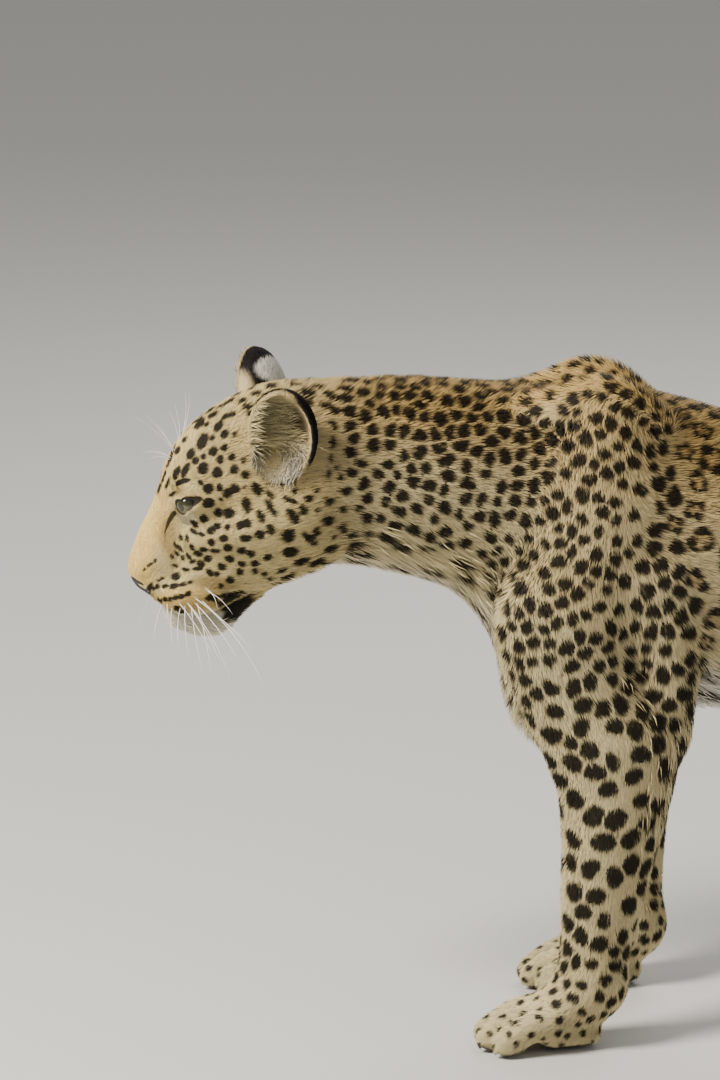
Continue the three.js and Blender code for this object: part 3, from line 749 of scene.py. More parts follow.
# Spots of the face and cheek in the side view: place, half length, half width and tilt in degrees
HEAD_SPOTS = [
    (11.4, 56.1, 7.4, 3.7, 70), (12.4, 42.1, 2.4, 2, 90), (26.3, 70, 5.6, 2.8, 65),
    (31.9, 62.6, 3.3, 3.3, 0), (41.2, 62.6, 2.6, 1.7, 90), (20.7, 58.9, 2.8, 1.9, 80),
    (0.3, 44.9, 5.4, 2.7, 65), (21.7, 46.8, 4.5, 3.3, 60), (31.9, 49.6, 3.3, 2.6, 80),
    (4.9, 38.4, 3.3, 2.3, 60), (28.2, 39.3, 3.9, 2.8, -70), (38.4, 41.2, 3.1, 2.9, 0),
    (49.6, 38.4, 2.5, 2, -70), (12.4, 31, 4.7, 4.6, 0), (25.4, 27.2, 4.6, 3.9, -60),
    (41.2, 30, 3.8, 3.6, 0), (51.4, 25.4, 3.9, 3.5, 0), (-4.4, 29.1, 5.8, 2.6, 72),
    (-12.7, 27.2, 5.8, 2.5, 75), (-8.1, 18.9, 6, 1.9, 15), (9.6, 17.9, 2.2, 2, 45),
    (17, 12.4, 4.6, 3.9, 20), (27.2, 13.3, 3.3, 2.3, 90), (34.7, 8.6, 3.9, 3.6, 40),
    (41.2, 12.4, 4.3, 3.8, 0), (61.7, 12.4, 5.4, 3.9, -60), (50.5, 13.3, 1.7, 1.3, 0),
    (17, -0.7, 4.9, 3.9, 0), (28.2, 3.1, 1.9, 1.3, 0), (26.3, -9, 3.6, 3.3, 0), (36.5, -10, 4.6, 4.1, 0),
    (52.4, -2.5, 6.8, 3.4, -80), (12.4, -14.6, 3.5, 2.8, 20), (65.4, -12.7, 5.3, 3.1, -60),
    (74.7, -5.3, 8.4, 2.7, -52), (73.7, 6.8, 4.7, 2.1, -50), (92.3, 2.1, 6.8, 2.2, -25),
    (95.1, -12.7, 7.6, 3.6, -52), (104.4, -7.2, 4.7, 3, -55), (46.8, -21.1, 3.7, 3.1, 20),
    (53.3, -19.3, 3.9, 3.3, 0), (74.7, -24.8, 4.3, 3.6, -50), (64.4, -29.5, 4.1, 3.4, 20),
    (90.5, -30.4, 6.2, 4.9, 10), (110, -33.2, 7.9, 2.9, -40), (51.4, -33.2, 5.3, 2.6, -5),
    (31, -33.2, 3.9, 2.7, 20), (19.8, -36.9, 3.4, 2.6, 10), (34.7, -41.6, 4.3, 2.5, 10),
    (19.8, -25.8, 4.1, 3, 10), (25.4, -22, 3, 2.4, 0), (34.7, -23, 2.4, 2.2, 0),
    (92.3, -45.3, 6.2, 4.1, -5), (47.7, -44.4, 3.9, 2.5, -10), (56.1, -47.2, 3.7, 2.5, -25),
    (71.9, -49.9, 4.2, 2.1, 18), (102.6, -53.7, 6.8, 2.6, 15), (116.5, -54.6, 7.4, 1.8, 25),
    (128.6, -41.6, 6, 2.5, 22), (129.5, -59.2, 7.9, 3.3, 18), (16.1, -51.8, 3.2, 2.7, 10),
    (36.5, -51.8, 3.8, 2.6, -10), (9.6, -56.5, 3.4, 2.5, -15), (29.1, -59.2, 4.1, 2.5, -20),
    (47.7, -56.5, 3.5, 2.2, 0), (59.8, -55.5, 3.5, 2.2, 20), (17.9, -64.8, 3.7, 2.3, -45),
    (24.5, -65.8, 2.3, 2, 0), (45.8, -63.9, 3, 2.7, 0), (59.8, -63, 2.7, 2.1, 0),
    (68.2, -65.8, 2.4, 1.8, -20), (73.7, -69.5, 2.4, 1.6, 10), (84.9, -62, 5.1, 1.3, 15),
    (90.5, -67.6, 5.9, 1.8, 20), (82.1, -76, 5.1, 1.4, 15), (36.5, -71.3, 3.3, 2.8, 0),
    (28.2, -76.9, 2, 1.7, 0), (4, -19.3, 3.9, 2, -40), (3.1, -26.7, 3.9, 1.4, -35),
    (10.5, -29.5, 3, 1.3, -10), (-8.1, -32.3, 3, 1.1, -60), (-3.4, -33.2, 3, 1.1, -65),
    (-13.7, -39.7, 3, 1.1, -65), (-9, -42.5, 3.3, 1.3, -55), (1.2, -41.6, 3.2, 1.4, -50),
    (-12.7, -47.2, 2.8, 1.1, -60), (-1.6, -49.9, 2.8, 1.2, -45), (-7.2, -50.9, 2.4, 1.1, -55),
    (6.8, -47.2, 3.9, 1.8, -10), (12.4, -43.4, 3.3, 1.6, -5), (23.5, -44.4, 4.1, 1.3, 0),
    (2.1, -54.6, 2.8, 1.5, 20), (6.8, -61.1, 4.7, 1.4, 5), (-4.4, -62, 3.3, 1.3, -5),
    (-14.6, -58.3, 2.4, 1.2, -30), (-17.4, -49.9, 2.2, 1, -50), (-13.7, -68.5, 3.9, 2.8, 0),
    (-35.1, -79.7, 1.7, 1.4, 0), (-31.3, -77.8, 2, 1.5, 70), (-23.9, -77.8, 2.8, 1.4, 10),
    (-15.5, -77.8, 3.7, 2, 15), (-7.2, -76, 3.7, 1.3, 12), (-0.7, -74.1, 2.4, 1.1, 15),
    (-28.6, -90.9, 1.9, 1.5, 0), (-23.9, -89.9, 1.9, 1.7, 0), (-19.3, -89.9, 2, 1.6, 0),
    (-14.6, -88.1, 2.7, 1.8, 10), (-9, -87.1, 3.2, 2, 15), (-2.5, -84.4, 3.2, 1.7, 25),
    (-39.7, -58.3, 1.2, 0.8, 40), (-36.9, -56.5, 1.3, 0.9, 40), (-33.2, -53.7, 1.4, 1, 35),
    (-43.4, -62, 1.1, 0.7, 40), (-26.7, -70.4, 2, 1, 15), (-30.4, -72.3, 1.5, 0.9, 15),
    (-12.7, -98.3, 3.3, 1.7, -20), (-7.2, -101.1, 3.3, 2.2, -20), (126.8, 26.3, 3.9, 2, 80),
    (138.8, 23.5, 3.3, 1.9, 85), (116.5, 10.5, 2.4, 1.9, 0), (96.1, 9.6, 2.7, 2.4, 0),
    (109.1, 3.1, 4.3, 2.2, 40), (127.7, 0.3, 3.9, 3.2, 20), (140.7, -5.3, 3.7, 3.1, 0),
    (125.8, -16.5, 4.5, 4.1, 0), (116.5, -26.7, 3.9, 3, 50), (139.8, -23, 4.1, 3.7, 0),
    (131.4, -31.3, 2.4, 1.9, 0), (117.5, -7.2, 2, 1.7, 0), (84.9, 17, 2.2, 1.8, 0),
    (135.1, 31.9, 2.2, 2, 0), (129.5, 40.3, 3.7, 2.2, 85), (131.4, 54.2, 5.6, 2.4, 85),
    (132.3, 70, 4.7, 2.1, -60), (53.3, 87.7, 3.9, 2.6, 25), (56.1, 81.2, 3.5, 2.3, 0),
    (47.7, 93.3, 3.9, 2.2, 25), (35.6, 93.3, 5.6, 1.8, 25), (32.8, 78.4, 4.3, 1.7, 40),
    (38.4, 80.3, 3.7, 1.6, 40), (20.7, 80.3, 3.5, 3, 0), (8.6, 71.9, 4.7, 3, 60),
    (60.7, 99.8, 3.3, 2.6, -20), (66.3, 94.2, 5.1, 2.4, 50), (108.2, 98.9, 6.5, 3.2, -10),
    (107.2, 91.4, 5.6, 2.8, -30), (124, 88.6, 5.6, 2.8, -15), (128.6, 97.9, 5.6, 2.8, -40),
    (133.3, 84, 4.2, 3.2, -40), (74.7, 106.3, 5.6, 1.8, 10), (97, 106.3, 5.6, 1.8, -5),
    (117.5, 105.4, 5.6, 1.9, -10), (27.2, 90.5, 3.7, 1.5, 30), (15.2, 71.9, 2.8, 1.5, 40),
    (-5.3, 57.9, 2.8, 1.7, 60), (-27, 24, 5.5, 1.6, 74), (-32, 14, 4.6, 1.6, 80), (-21, 18, 4.4, 1.4, 70),
    (-28, 36, 3.8, 1.6, 66), (-19, 40, 4.2, 1.8, 62), (-12, 48, 4, 1.8, 60), (-16, 8, 3, 1.1, 30),
]


class Spots:
    """Spots and rosettes over the body, each with its own place, size and outline."""

    def __init__(self, skin):
        self.rows = []
        self.place_by_hand(skin)
        spacing = spot_plan(*skin.face_middles())[0]
        p, n, flow, share = roots_on(skin, SPOT_TRIES, 1 / spacing**2)
        spacing, ratio, stretch, ring = spot_plan(p, n, share)
        count = len(self.rows)
        place, facing = np.zeros((2, MOST_SPOTS, 3))
        room = np.zeros(MOST_SPOTS)
        place[:count] = [row[0] for row in self.rows]
        facing[:count] = [row[1] for row in self.rows]
        room[:count] = [row[3] + 6 for row in self.rows]
        for i in RNG.permutation(len(p)):
            if spacing[i] == NO_SPOT:
                continue
            off = place[:count] - p[i]
            gap = (off**2).sum(1) - (off @ flow[i]) ** 2 * (1 - 1 / stretch[i] ** 2)
            if ((gap < ((room[:count] + spacing[i]) / 2) ** 2) & (facing[:count] @ n[i] > 0.1)).any():
                continue
            place[count], facing[count], room[count] = p[i], n[i], spacing[i]
            count += 1
            radius = spacing[i] * ratio[i] * RNG.uniform(0.8, 1.2) + 0.8
            shape = stretch[i] ** 0.5 * RNG.uniform(0.88, 1.08)
            self.rows.append((p[i], n[i], flow[i], radius, shape, RNG.uniform() < ring[i], 1.0))
        columns = (np.array(column) for column in zip(*self.rows))
        self.place, self.normal, self.along, self.radius, self.stretch, self.ring, rough = columns
        self.across = np.cross(self.normal, self.along)
        self.keep_apart(2 * len(HEAD_SPOTS))
        self.wobble = RNG.uniform(0, 2 * math.pi, (len(self.rows), 3))
        self.size = RNG.uniform(0.04, 0.15, (len(self.rows), 2)) * rough[:, None]
        self.free = rough == 1.0

    def keep_apart(self, first):
        """Spots from the first onwards get hardly larger than half the way to the nearest one."""
        tree = KDTree(len(self.place))
        for i, place in enumerate(self.place):
            tree.insert(place, i)
        tree.balance()
        for i in range(first, len(self.place)):
            nearest = tree.find_n(self.place[i], 2)[1][2]
            self.radius[i] = min(self.radius[i], nearest * 0.5 + 1.5)

    def place_by_hand(self, skin):
        """The face's own spots on the near side, and the same, moved a little, on the far side."""
        rng = np.random.default_rng(17)
        x, z, facing = side_view(skin.vertices, skin.normals)
        near = np.nonzero((to_head(skin.vertices)[:, 1] < 0) & (facing > 0.12) & (x < 190))[0]
        for sx, sz, half_long, half_wide, tilt in HEAD_SPOTS:
            k = near[np.argmin((x[near] - sx) ** 2 + (z[near] - sz) ** 2)]
            q = to_head(skin.vertices[k]) + SIDE_RIGHT * (sx - x[k]) + SIDE_UP * (sz - z[k])
            n = skin.normals[k] @ YAW
            a, b = (self.lifted(n, math.radians(tilt + turn)) for turn in (0, 90))
            b = b - a * (b @ a) / (a @ a)
            long = (half_long * 1.15 + 0.6) * np.linalg.norm(a)
            wide = (half_wide * 1.15 + 0.8) * np.linalg.norm(b)
            for side in (-1, 1):
                fold = np.array([1.0, -side, 1.0])
                moved = rng.normal(0, 1.6, 3) * (side > 0)
                row = from_head(q * fold + moved), (n * fold) @ YAW.T, unit(a * fold) @ YAW.T
                self.rows.append((*row, math.sqrt(long * wide), math.sqrt(long / wide), False, 0.5))

    @staticmethod
    def lifted(normal, turn):
        """A direction of the side view laid on the surface, where it is longer by up to 1.8 times."""
        way = SIDE_RIGHT * math.cos(turn) + SIDE_UP * math.sin(turn)
        way = way - SIDE_BACK * (way @ normal) / max(SIDE_BACK @ normal, 0.15)
        return way / max(np.linalg.norm(way) / 1.8, 1.0)

    def paint(self, p, normals, ragged):
        """How black each point is, and how far it is inside a rosette."""
        black = np.zeros(len(p))
        inside = np.zeros(len(p))
        first, second = np.full((2, len(p)), 99.0)
        cell = 45.0
        key = np.floor(p / cell).astype(int)
        order = np.lexsort(key.T)
        cuts = np.nonzero(np.any(np.diff(key[order], axis=0), axis=1))[0] + 1
        table = {tuple(key[g[0]]): g for g in np.split(order, cuts) if len(g)}
        jitter = RNG.normal(0, ragged, len(p))
        for s in range(len(self.place)):
            reach = self.radius[s] * 1.7
            low = np.floor((self.place[s] - reach) / cell).astype(int)
            high = np.floor((self.place[s] + reach) / cell).astype(int)
            found = [
                table[(i, j, k)]
                for i in range(low[0], high[0] + 1)
                for j in range(low[1], high[1] + 1)
                for k in range(low[2], high[2] + 1)
                if (i, j, k) in table
            ]
            if not found:
                continue
            k = np.concatenate(found)
            off = p[k] - self.place[s]
            near = (np.abs(off).max(1) < reach + 2) & (normals[k] @ self.normal[s] > 0.15)
            k, off = k[near], off[near]
            u = off @ self.along[s] / self.stretch[s]
            v = off @ self.across[s] * self.stretch[s]
            depth = off @ self.normal[s]
            rho = np.sqrt(u**2 + v**2 + depth**2 * 0.3) + jitter[k] * 0.5
            theta = np.arctan2(v, u)
            waves = self.size[s, 0] * np.cos(2 * theta + self.wobble[s, 0])
            ripples = 0.5 * self.size[s, 1] * np.cos(3 * theta + self.wobble[s, 1])
            edge = self.radius[s] * (1 + waves + ripples)
            if self.ring[s]:
                middle = edge * 0.76
                parts = 3 + int(self.wobble[s, 2] * 0.47)
                band = self.radius[s] * (0.29 + 0.16 * np.cos(parts * theta + self.wobble[s, 2]))
                mark = ramp(band - np.abs(rho - middle), -0.5, 0.9)
                inside[k] = np.maximum(inside[k], ramp(middle - rho, -2, 4))
            elif self.free[s]:
                second[k] = np.minimum(second[k], np.maximum(first[k], rho - edge))
                first[k] = np.minimum(first[k], rho - edge)
                continue
            else:
                mark = ramp(edge - rho, -0.5, 0.7)
            black[k] = np.maximum(black[k], mark)
        # Where two spots would meet, a pale line of about 2 mm stays between them
        mark = ramp(np.minimum(-first, (second - first) / 2 - 1.0), -0.5, 0.7)
        return np.maximum(black, mark), inside


def spot_plan(p, normals, share):
    """Spacing, size ratio, stretch along the hair and chance of being a rosette, for a spot at each point."""
    x, _, z = p.T
    up = normals[:, 2]
    q = to_head(p)
    hx, hy, hz = q.T
    trunk_gap = mix(14.0, 26.0, ramp(x, 40, 120)) + 10.0 * ramp(x, 150, 320)
    trunk_gap = mix(trunk_gap, 14.5, ramp(up, 0.75, 0.95))
    trunk_gap = mix(trunk_gap, 27.0, ramp(up, -0.3, -0.7))
    neck_gap = mix(11.5, 12.5, ramp(x, -230, -60))
    neck_gap = mix(neck_gap, 18.0, ramp(up, -0.35, -0.75))
    leg_gap = mix(13.5, 18.0, ramp(z, 380, 270))
    leg_gap = mix(leg_gap, 13.0, ramp(z, 150, 90))
    head_gap = mix(9.0, 11.0, ramp(hz, 560, 500))
    gaps = {
        "trunk": trunk_gap, "breast": 12.5, "neck": neck_gap, "shoulder": 12.0,
        "foreleg": leg_gap, "hindleg": mix(leg_gap + 1.0, 33.0, ramp(z, 390, 440)),
        "paw": mix(10.5, 12.5, ramp(z, 25, 50)), "tail": mix(17.0, 22.0, ramp(z, 350, 150)),
        "head": head_gap, "muzzle": 9.0, "jaw": 13.0,
    }
    spacing = sum(gaps[part] * share[part] for part in PARTS)
    ratios = {
        "trunk": 0.48, "breast": 0.46, "neck": 0.49, "shoulder": 0.54, "foreleg": 0.54, "hindleg": 0.5,
        "paw": 0.3, "tail": 0.44, "head": 0.39, "muzzle": 0.25, "jaw": 0.27,
    }
    ratio = sum(ratios[part] * share[part] for part in PARTS)
    ratio = mix(ratio, ratio * 0.75, ramp(up, -0.3, -0.8) * (1 - share["neck"]))
    ratio = mix(ratio, 0.64, share["neck"] * ramp(up, 0.1, 0.6))
    stretch = 1.08 + 0.5 * share["breast"] + 0.25 * share["tail"]
    stretch = mix(stretch, 1.9, share["neck"] * ramp(up, -0.3, -0.7))
    ring = ramp(x, 55, 105) * ramp(up, -0.5, -0.1) * (1 - ramp(up, 0.85, 0.97)) * (share["trunk"] > 0.4)
    ring = np.maximum(ring, 0.85 * (share["hindleg"] > 0.5) * ramp(z, 400, 450))
    side_x, _, facing = side_view(p, normals)
    by_hand = (side_x < 142) & (facing > 0.14) & (z > 380)
    plain = head_without_spots(hx, hy, hz, share)
    return np.where(plain | by_hand, NO_SPOT, spacing), ratio, stretch, ring


def head_without_spots(hx, hy, hz, share):
    """The nose's bridge, round the eyes, the muzzle and the chin have no scattered spots."""
    on_head = (share["head"] + share["muzzle"] + share["jaw"]) > 0.5
    bridge = (hx < -374) & (np.abs(hy) < 22) & (hz < 545)
    muzzle = (hx < -362) & (hz < 470)
    eye = eye_distance(np.stack([hx, hy, hz], 1)) < EYE_AREA
    chin = (hz < 428) & (hx < -318)
    return on_head & (bridge | muzzle | eye | chin)


def base_colour(p, normals, share):
    """The coat's colour without its markings, with painted shade in the hollows down the nose's sides."""
    tan, buff, cream, white, bridge = colours_of(coat_settings(), "tan buff cream white nose_bridge")
    x, y, z = p.T
    up = normals[:, 2]
    hx, hy, hz = to_head(p).T
    head = share["head"] + share["muzzle"] + share["jaw"]
    colour = np.tile(buff, (len(p), 1))

    def paint(other, weight):
        colour[:] = blend(colour, other, np.clip(weight, 0, 1))

    body = 1 - head - share["breast"] - share["paw"]
    paint(tan, ramp(up, -0.05, 0.75) * body)
    paint(mix(buff, cream, 0.55), share["foreleg"] * 0.8)
    paint(cream, (share["foreleg"] + share["hindleg"]) * ramp(np.abs(y), 92, 70) * ramp(z, 380, 330) * 0.8)
    paint(cream, share["trunk"] * ramp(up, -0.1, -0.5))
    paint(white, share["trunk"] * ramp(up, -0.35, -0.75))
    paint(mix(cream, white, 0.1), share["breast"] * ramp(x, -40, -75))
    paint(mix(cream, white, 0.1), share["breast"] * ramp(z, 345, 310))
    paint(cream, share["neck"] * ramp(up, -0.15, -0.55) * 0.8)
    paint(white, share["neck"] * ramp(up, -0.6, -0.95) * 0.4)
    paint(cream, share["paw"] * 0.7)
    paint(white, share["tail"] * ramp(up, -0.3, -0.8) * 0.6)
    # The head: buff, plain and bright on the nose, paler on cheeks and muzzle, white at the chin
    sx, sz, facing = side_view(p, normals)
    side = head * ramp(facing, 0.0, 0.15)
    paint(mix(buff, tan, 0.25), head * ramp(hz, 500, 545))
    paint(mix(buff, cream, 0.5), head * ramp(hz, 505, 455) * 0.9)
    middle = ramp(np.abs(hy), 26, 17)
    paint(bridge, head * ramp(hx, -366, -382) * middle * ramp(hz, 436, 446) * ramp(hz, 550, 500))
    for other, middle, radii, tilt, edge, strength in (
        # Before the eye, over it, under it, painted shade in the hollow down the nose's side, on the upper
        # lip, over the mouth's corner
        (to_linear("#8d6e42"), (-26.7, 5.9), (7.4, 8.4), 0, 0.6, 0.3),
        (cream, (3.1, 13.3), (9.3, 5.5), 0, 0.5, 0.6),
        (white, (-2.5, -15.5), (8.4, 5.5), 0, 0.5, 0.45),
        # Painted shade: a darker brown in the hollow between the nose's bridge and the cheek
        (to_linear("#9a7d4c"), (-21.0, -33.0), (8.0, 22.0), 12, 0.6, 0.6),
        (bridge, (-6.0, -92.0), (36.0, 14.0), 4, 0.2, 0.8),
        (to_linear("#8a6a35"), (21.7, -75.0), (22.3, 6.0), -8, 0.4, 0.55),
    ):
        paint(other, side * patch(sx, sz, middle, radii, tilt, edge) * strength)
    paint(mix(cream, white, 0.6), head * ramp(hz, 424, 410) * ramp(hx, -300, -330))
    # The head's fur is a little yellower than the body's, apart from the chin
    return colour * blend(np.ones(3), np.array([1.0, 0.97, 0.84]), head * ramp(hz, 412, 424))


def face_marks(p, normals):
    """Black of the eye's liner, the tear streak, the nostril's wing, the lips and the mouth's corner."""
    q = to_head(p)
    fold = np.stack([q[:, 0], np.abs(q[:, 1]), q[:, 2]], 1)
    x, z, facing = side_view(p, normals)
    side = ramp(facing, -0.05, 0.1)
    ratio, high = eye_ratio(q)
    wide = mix(1.17, 1.38, ramp(high, -0.1, 0.3))
    black = ramp(ratio, wide + 0.08, wide - 0.05) * (eye_distance(q) < EYE_AREA)

    def mark(weight):
        black[:] = np.maximum(black, weight)

    streak = np.array([[-16.0, 0, -10.0], [-20.5, 0, -17.0], [-24.5, 0, -27.6], [-24.0, 0, -36.0]])
    flat = np.stack([x, np.zeros(len(x)), z], 1)
    thin = mix(2.2, 0.0, ramp(z, -10, -34))
    mark(side * ramp(chain_distance(flat, streak, 0.0) - thin, 1.0, -0.4) * 0.95)
    mark(ramp(chain_distance(fold, LIP_LINE, 2.2), 1.4, 0.3))
    ragged = 1.8 * wave_noise(p, 6.0, 5)
    for middle, radii, tilt in (
        ((22.6, -89.0), (9.3, 4.7), 0), ((37.5, -92.7), (15.8, 10.2), 0),
        ((50.5, -92.7), (8.4, 10.2), 0), ((38.4, -103.9), (11.2, 6.5), 35),
    ):
        mark(side * patch(x + ragged, z + ragged, middle, radii, tilt, 0.2))
    mark(side * patch(x, z, (-39.5, -79.5), (6.5, 2.8), 61, 0.3))
    pink = side * patch(x, z, (27.2, -90.0), (2.6, 1.8), 20, 0.3)
    return black * (1 - 0.6 * pink)


def painted(p, normals, share, ragged=0.9):
    """The coat's colour with all its markings."""
    rosette, spot = colours_of(coat_settings(), "rosette spot")
    colour = base_colour(p, normals, share)
    colour *= (1 + 0.07 * wave_noise(p, 60, 3) + 0.05 * wave_noise(p, 14, 4))[:, None]
    black, inside = the_spots().paint(p, normals, ragged)
    head = share["head"] + share["muzzle"] + share["jaw"]
    black = np.maximum(black, face_marks(p, normals) * (head > 0.5))
    tail_rings = ramp(np.sin((p[:, 0] - p[:, 2] * 0.4) / 8.5), 0.1, 0.5)
    tail_rings *= ramp(p[:, 0], 1020, 1060) * ramp(normals[:, 2], -0.6, -0.2)
    black = np.maximum(black, tail_rings * share["tail"])
    black = np.maximum(black, share["tail"] * ramp(p[:, 0], 1166, 1176))
    colour = blend(colour, rosette, inside * 0.5)
    return blend(colour, spot, black * 0.97)


# The unwrap: each part is laid out round its own line, in its own band of the square


def unwrapped(p, share):
    """Each point's place on the unwrap."""
    names = list(PARTS)
    best = np.argmax(np.stack([share[part] for part in names]), 0)
    x, y, z = p.T
    upright = np.isin(best, [names.index(n) for n in ("foreleg", "hindleg", "paw", "breast")])
    middle_y = np.where(upright, np.sign(y) * 90.0, 0.0)
    middle_x = np.where(x < 350, 10.0 + 30 * (y > 0), 690.0)
    angle = np.where(upright, np.arctan2(y - middle_y, x - middle_x), np.arctan2(y, z - 470.0))
    angle = angle / (2 * math.pi) + 0.5
    length = np.where(upright, z / 520.0, (x + 460.0) / 1700.0)
    band = (best + (upright & (y > 0)) * 0.5 + (upright & (x > 350)) * 0.25) / len(names)
    share_of_band = np.where(upright, 0.22, 0.9) / len(names)
    return np.stack([np.clip(length, 0.002, 0.998), band + angle * share_of_band], 1)


# The skin


class Skin:
    """The whole hide as arrays: vertices, faces, normals, the hair's lie and the parts' shares."""

    made = None

    def __init__(self):
        vertices, faces = surface_net(skin_field, (-450, -150, -6), (1200, 150, 660), 6.5)
        vertices = settle(skin_field, vertices)
        vertices, faces = self.finer(vertices, faces)
        self.vertices = vertices
        self.faces = faces
        self.normals = vertex_normals(vertices, faces)
        distance, flow = survey(vertices)
        self.shares = part_shares(distance)
        flow -= self.normals * (flow * self.normals).sum(1, keepdims=True)
        self.flow = unit(flow)

    def face_middles(self):
        """The middle, normal and parts' shares of each face."""
        share = {part: s[self.faces].mean(1) for part, s in self.shares.items()}
        return self.vertices[self.faces].mean(1), self.normals[self.faces].mean(1), share

    @staticmethod
    def finer(vertices, faces):
        """The head's faces split twice, and a third time round the eyes, and laid on the face's details."""

        def region(place, limit, reach):
            return (place[:, 0] < limit) & (place[:, 2] > 340) & (eye_distance(to_head(place)) < reach)

        mesh = bpy.data.meshes.new("draft")
        mesh.from_pydata(vertices.tolist(), [], faces.tolist())
        bm = bmesh.new()
        bm.from_mesh(mesh)
        bpy.data.meshes.remove(mesh)
        for limit, reach in ((-262.0, 900.0), (-325.0, 900.0), (-340.0, EYE_AREA)):
            place = np.array([v.co for v in bm.verts])
            bm.verts.index_update()
            inside = region(place, limit, reach)
            edges = [e for e in bm.edges if all(inside[v.index] for v in e.verts)]
            bmesh.ops.subdivide_edges(bm, edges=edges, cuts=1, use_grid_fill=True)
            bm.verts.ensure_lookup_table()
            place = np.array([v.co for v in bm.verts])
            near = np.nonzero(region(place, limit + 8, reach + 3))[0]
            place[near] = settle(face_field, place[near], 3, 2.5)
            for i in near:
                bm.verts[i].co = place[i]
        bmesh.ops.triangulate(bm, faces=bm.faces[:])
        bm.verts.index_update()
        place = open_lids(np.array([v.co for v in bm.verts]))
        tri = np.array([[v.index for v in f.verts] for f in bm.faces])
        bm.free()
        return place, tri


def the_skin():
    if Skin.made is None:
        Skin.made = Skin()
    return Skin.made


def the_spots():
    skin = the_skin()
    if not hasattr(skin, "spots"):
        skin.spots = Spots(skin)
    return skin.spots


def face_areas(vertices, faces):
    a, b, c = (vertices[faces[:, i]] for i in range(3))
    return np.linalg.norm(np.cross(b - a, c - a), axis=1) / 2


# Tufts


def spikes(root, normal, along, width, tip, colour, tip_colour):
    """Straight tufts: thin closed spikes that lie along the coat, with the colours of their root and tip."""
    side = np.cross(normal, along)
    half = side * (width / 2)[:, None]
    low = root - normal * 0.4
    ridge = root + normal * (width * 0.32)[:, None] + (tip - root) * 0.14
    vertices = np.stack([low + half, low - half, ridge, tip], 1)
    turned = (side * 0.6, side * -0.6, side * 0.0, along * 0.25)
    normals = np.stack([unit(normal + turn) for turn in turned], 1)
    # Painted shade among the hairs: the root's corners darkest, the ridge less dark, the tip a little lighter
    colours = np.stack([colour * 0.74, colour * 0.74, colour * 0.92, tip_colour * 1.06], 1)
    base = np.arange(len(root))[:, None, None] * 4
    faces = np.array([[0, 2, 3], [2, 1, 3], [1, 0, 3], [0, 1, 2]])[None] + base
    return vertices, normals, colours, faces


def bent_spikes(root, normal, along, length, width, lift, droop, colour):
    """Longer tufts with a bend: two rings and a tip, drooping towards the end."""
    side = unit(np.cross(normal, along))
    middle = root + along * (length * 0.5)[:, None] + normal * (lift * 0.75)[:, None]
    tip = root + along * length[:, None] + normal * lift[:, None] + droop
    middle = middle + droop * 0.3
    rings = []
    for place, size in ((root - normal * 0.5, 1.0), (middle, 0.72)):
        half = side * (width * size / 2)[:, None]
        rings += [place + half, place - half, place + normal * (width * size * 0.4)[:, None]]
    vertices = np.stack(rings + [tip], 1)
    normals = np.stack([unit(normal + side * 0.7), unit(normal - side * 0.7), normal] * 2 + [normal], 1)
    shade = np.array([0.7, 0.7, 0.85, 0.95, 0.95, 1.0, 1.06])
    colours = colour[:, None, :] * shade[None, :, None]
    faces = [[0, 1, 2]]
    for i, j in ((0, 2), (2, 1), (1, 0)):
        faces += [[i, j, j + 3], [i, j + 3, i + 3], [i + 3, j + 3, 6]]
    faces = np.array(faces)[None] + np.arange(len(root))[:, None, None] * 7
    return vertices, normals, colours, faces


def coat_piece(name, made, uv):
    """One coat object from the tufts' arrays, with each tuft's patch at its root's place on the unwrap."""
    vertices, normals, colours, faces = made
    each = vertices.shape[1]
    corner = np.array([[-1, -1], [1, -1], [0, 0], [0, 1], [-1, 0], [1, 0], [0, 1]])[:each] * 0.0015
    uvs = np.clip(uv[:, None, :] + corner[None], 0.0, 1.0)
    piece = mesh_object(
        name,
        vertices.reshape(-1, 3),
        faces.reshape(-1, 3),
        shared_material("leopard_fur", coat_material),
        np.clip(colours, 0, 1).reshape(-1, 3),
        normals.reshape(-1, 3),
        uvs.reshape(-1, 2),
    )
    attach(piece, "root")
    return piece


def shared_material(name, make):
    return bpy.data.materials.get(name) or make()


def tuft_sizes(p, normals, share):
    """Length and width of the short tufts at each root."""
    x, _, z = p.T
    up = normals[:, 2]
    hx = to_head(p)[:, 0]
    head = share["head"] + share["muzzle"] + share["jaw"]
    legs = share["foreleg"] + share["hindleg"]
    length = mix(8.2, 6.8, ramp(z, 400, 200) * legs)
    length = mix(length, 7.0, share["neck"])
    length = mix(length, 4.8, share["paw"])
    length = mix(length, mix(7.5, 3.8, ramp(hx, -300, -385)), head)
    width = mix(1.5, 1.25, legs + share["neck"] * 0.7)
    width = mix(width, 1.0, share["paw"])
    width = mix(width, mix(1.15, 0.8, ramp(hx, -300, -385)), head)
    width = width * mix(1.0, 1.5, ramp(x, 120, 420))
    length = length * mix(1.0, 1.2, ramp(x, 120, 420))
    under = ramp(up, -0.25, -0.7) * (share["trunk"] + share["breast"] + share["neck"])
    return mix(length, 20.0, under), width


def kept(share, rows):
    return {part: s[rows] for part, s in share.items()}


def roots_on(skin, count, density):
    """Random places on the skin, with their normals, the hair's lie and the parts' shares."""
    weight = face_areas(skin.vertices, skin.faces) * density
    face = RNG.choice(len(skin.faces), count, p=weight / weight.sum())
    face.sort()
    u, v = RNG.uniform(size=(2, count))
    flip = u + v > 1
    u[flip], v[flip] = 1 - u[flip], 1 - v[flip]
    corner = skin.faces[face]
    bary = np.stack([1 - u - v, u, v], 1)

    def at(values):
        return (values[corner] * (bary[:, :, None] if values.ndim == 2 else bary)).sum(1)

    share = {part: at(s) for part, s in skin.shares.items()}
    return at(skin.vertices), unit(at(skin.normals)), unit(at(skin.flow)), share


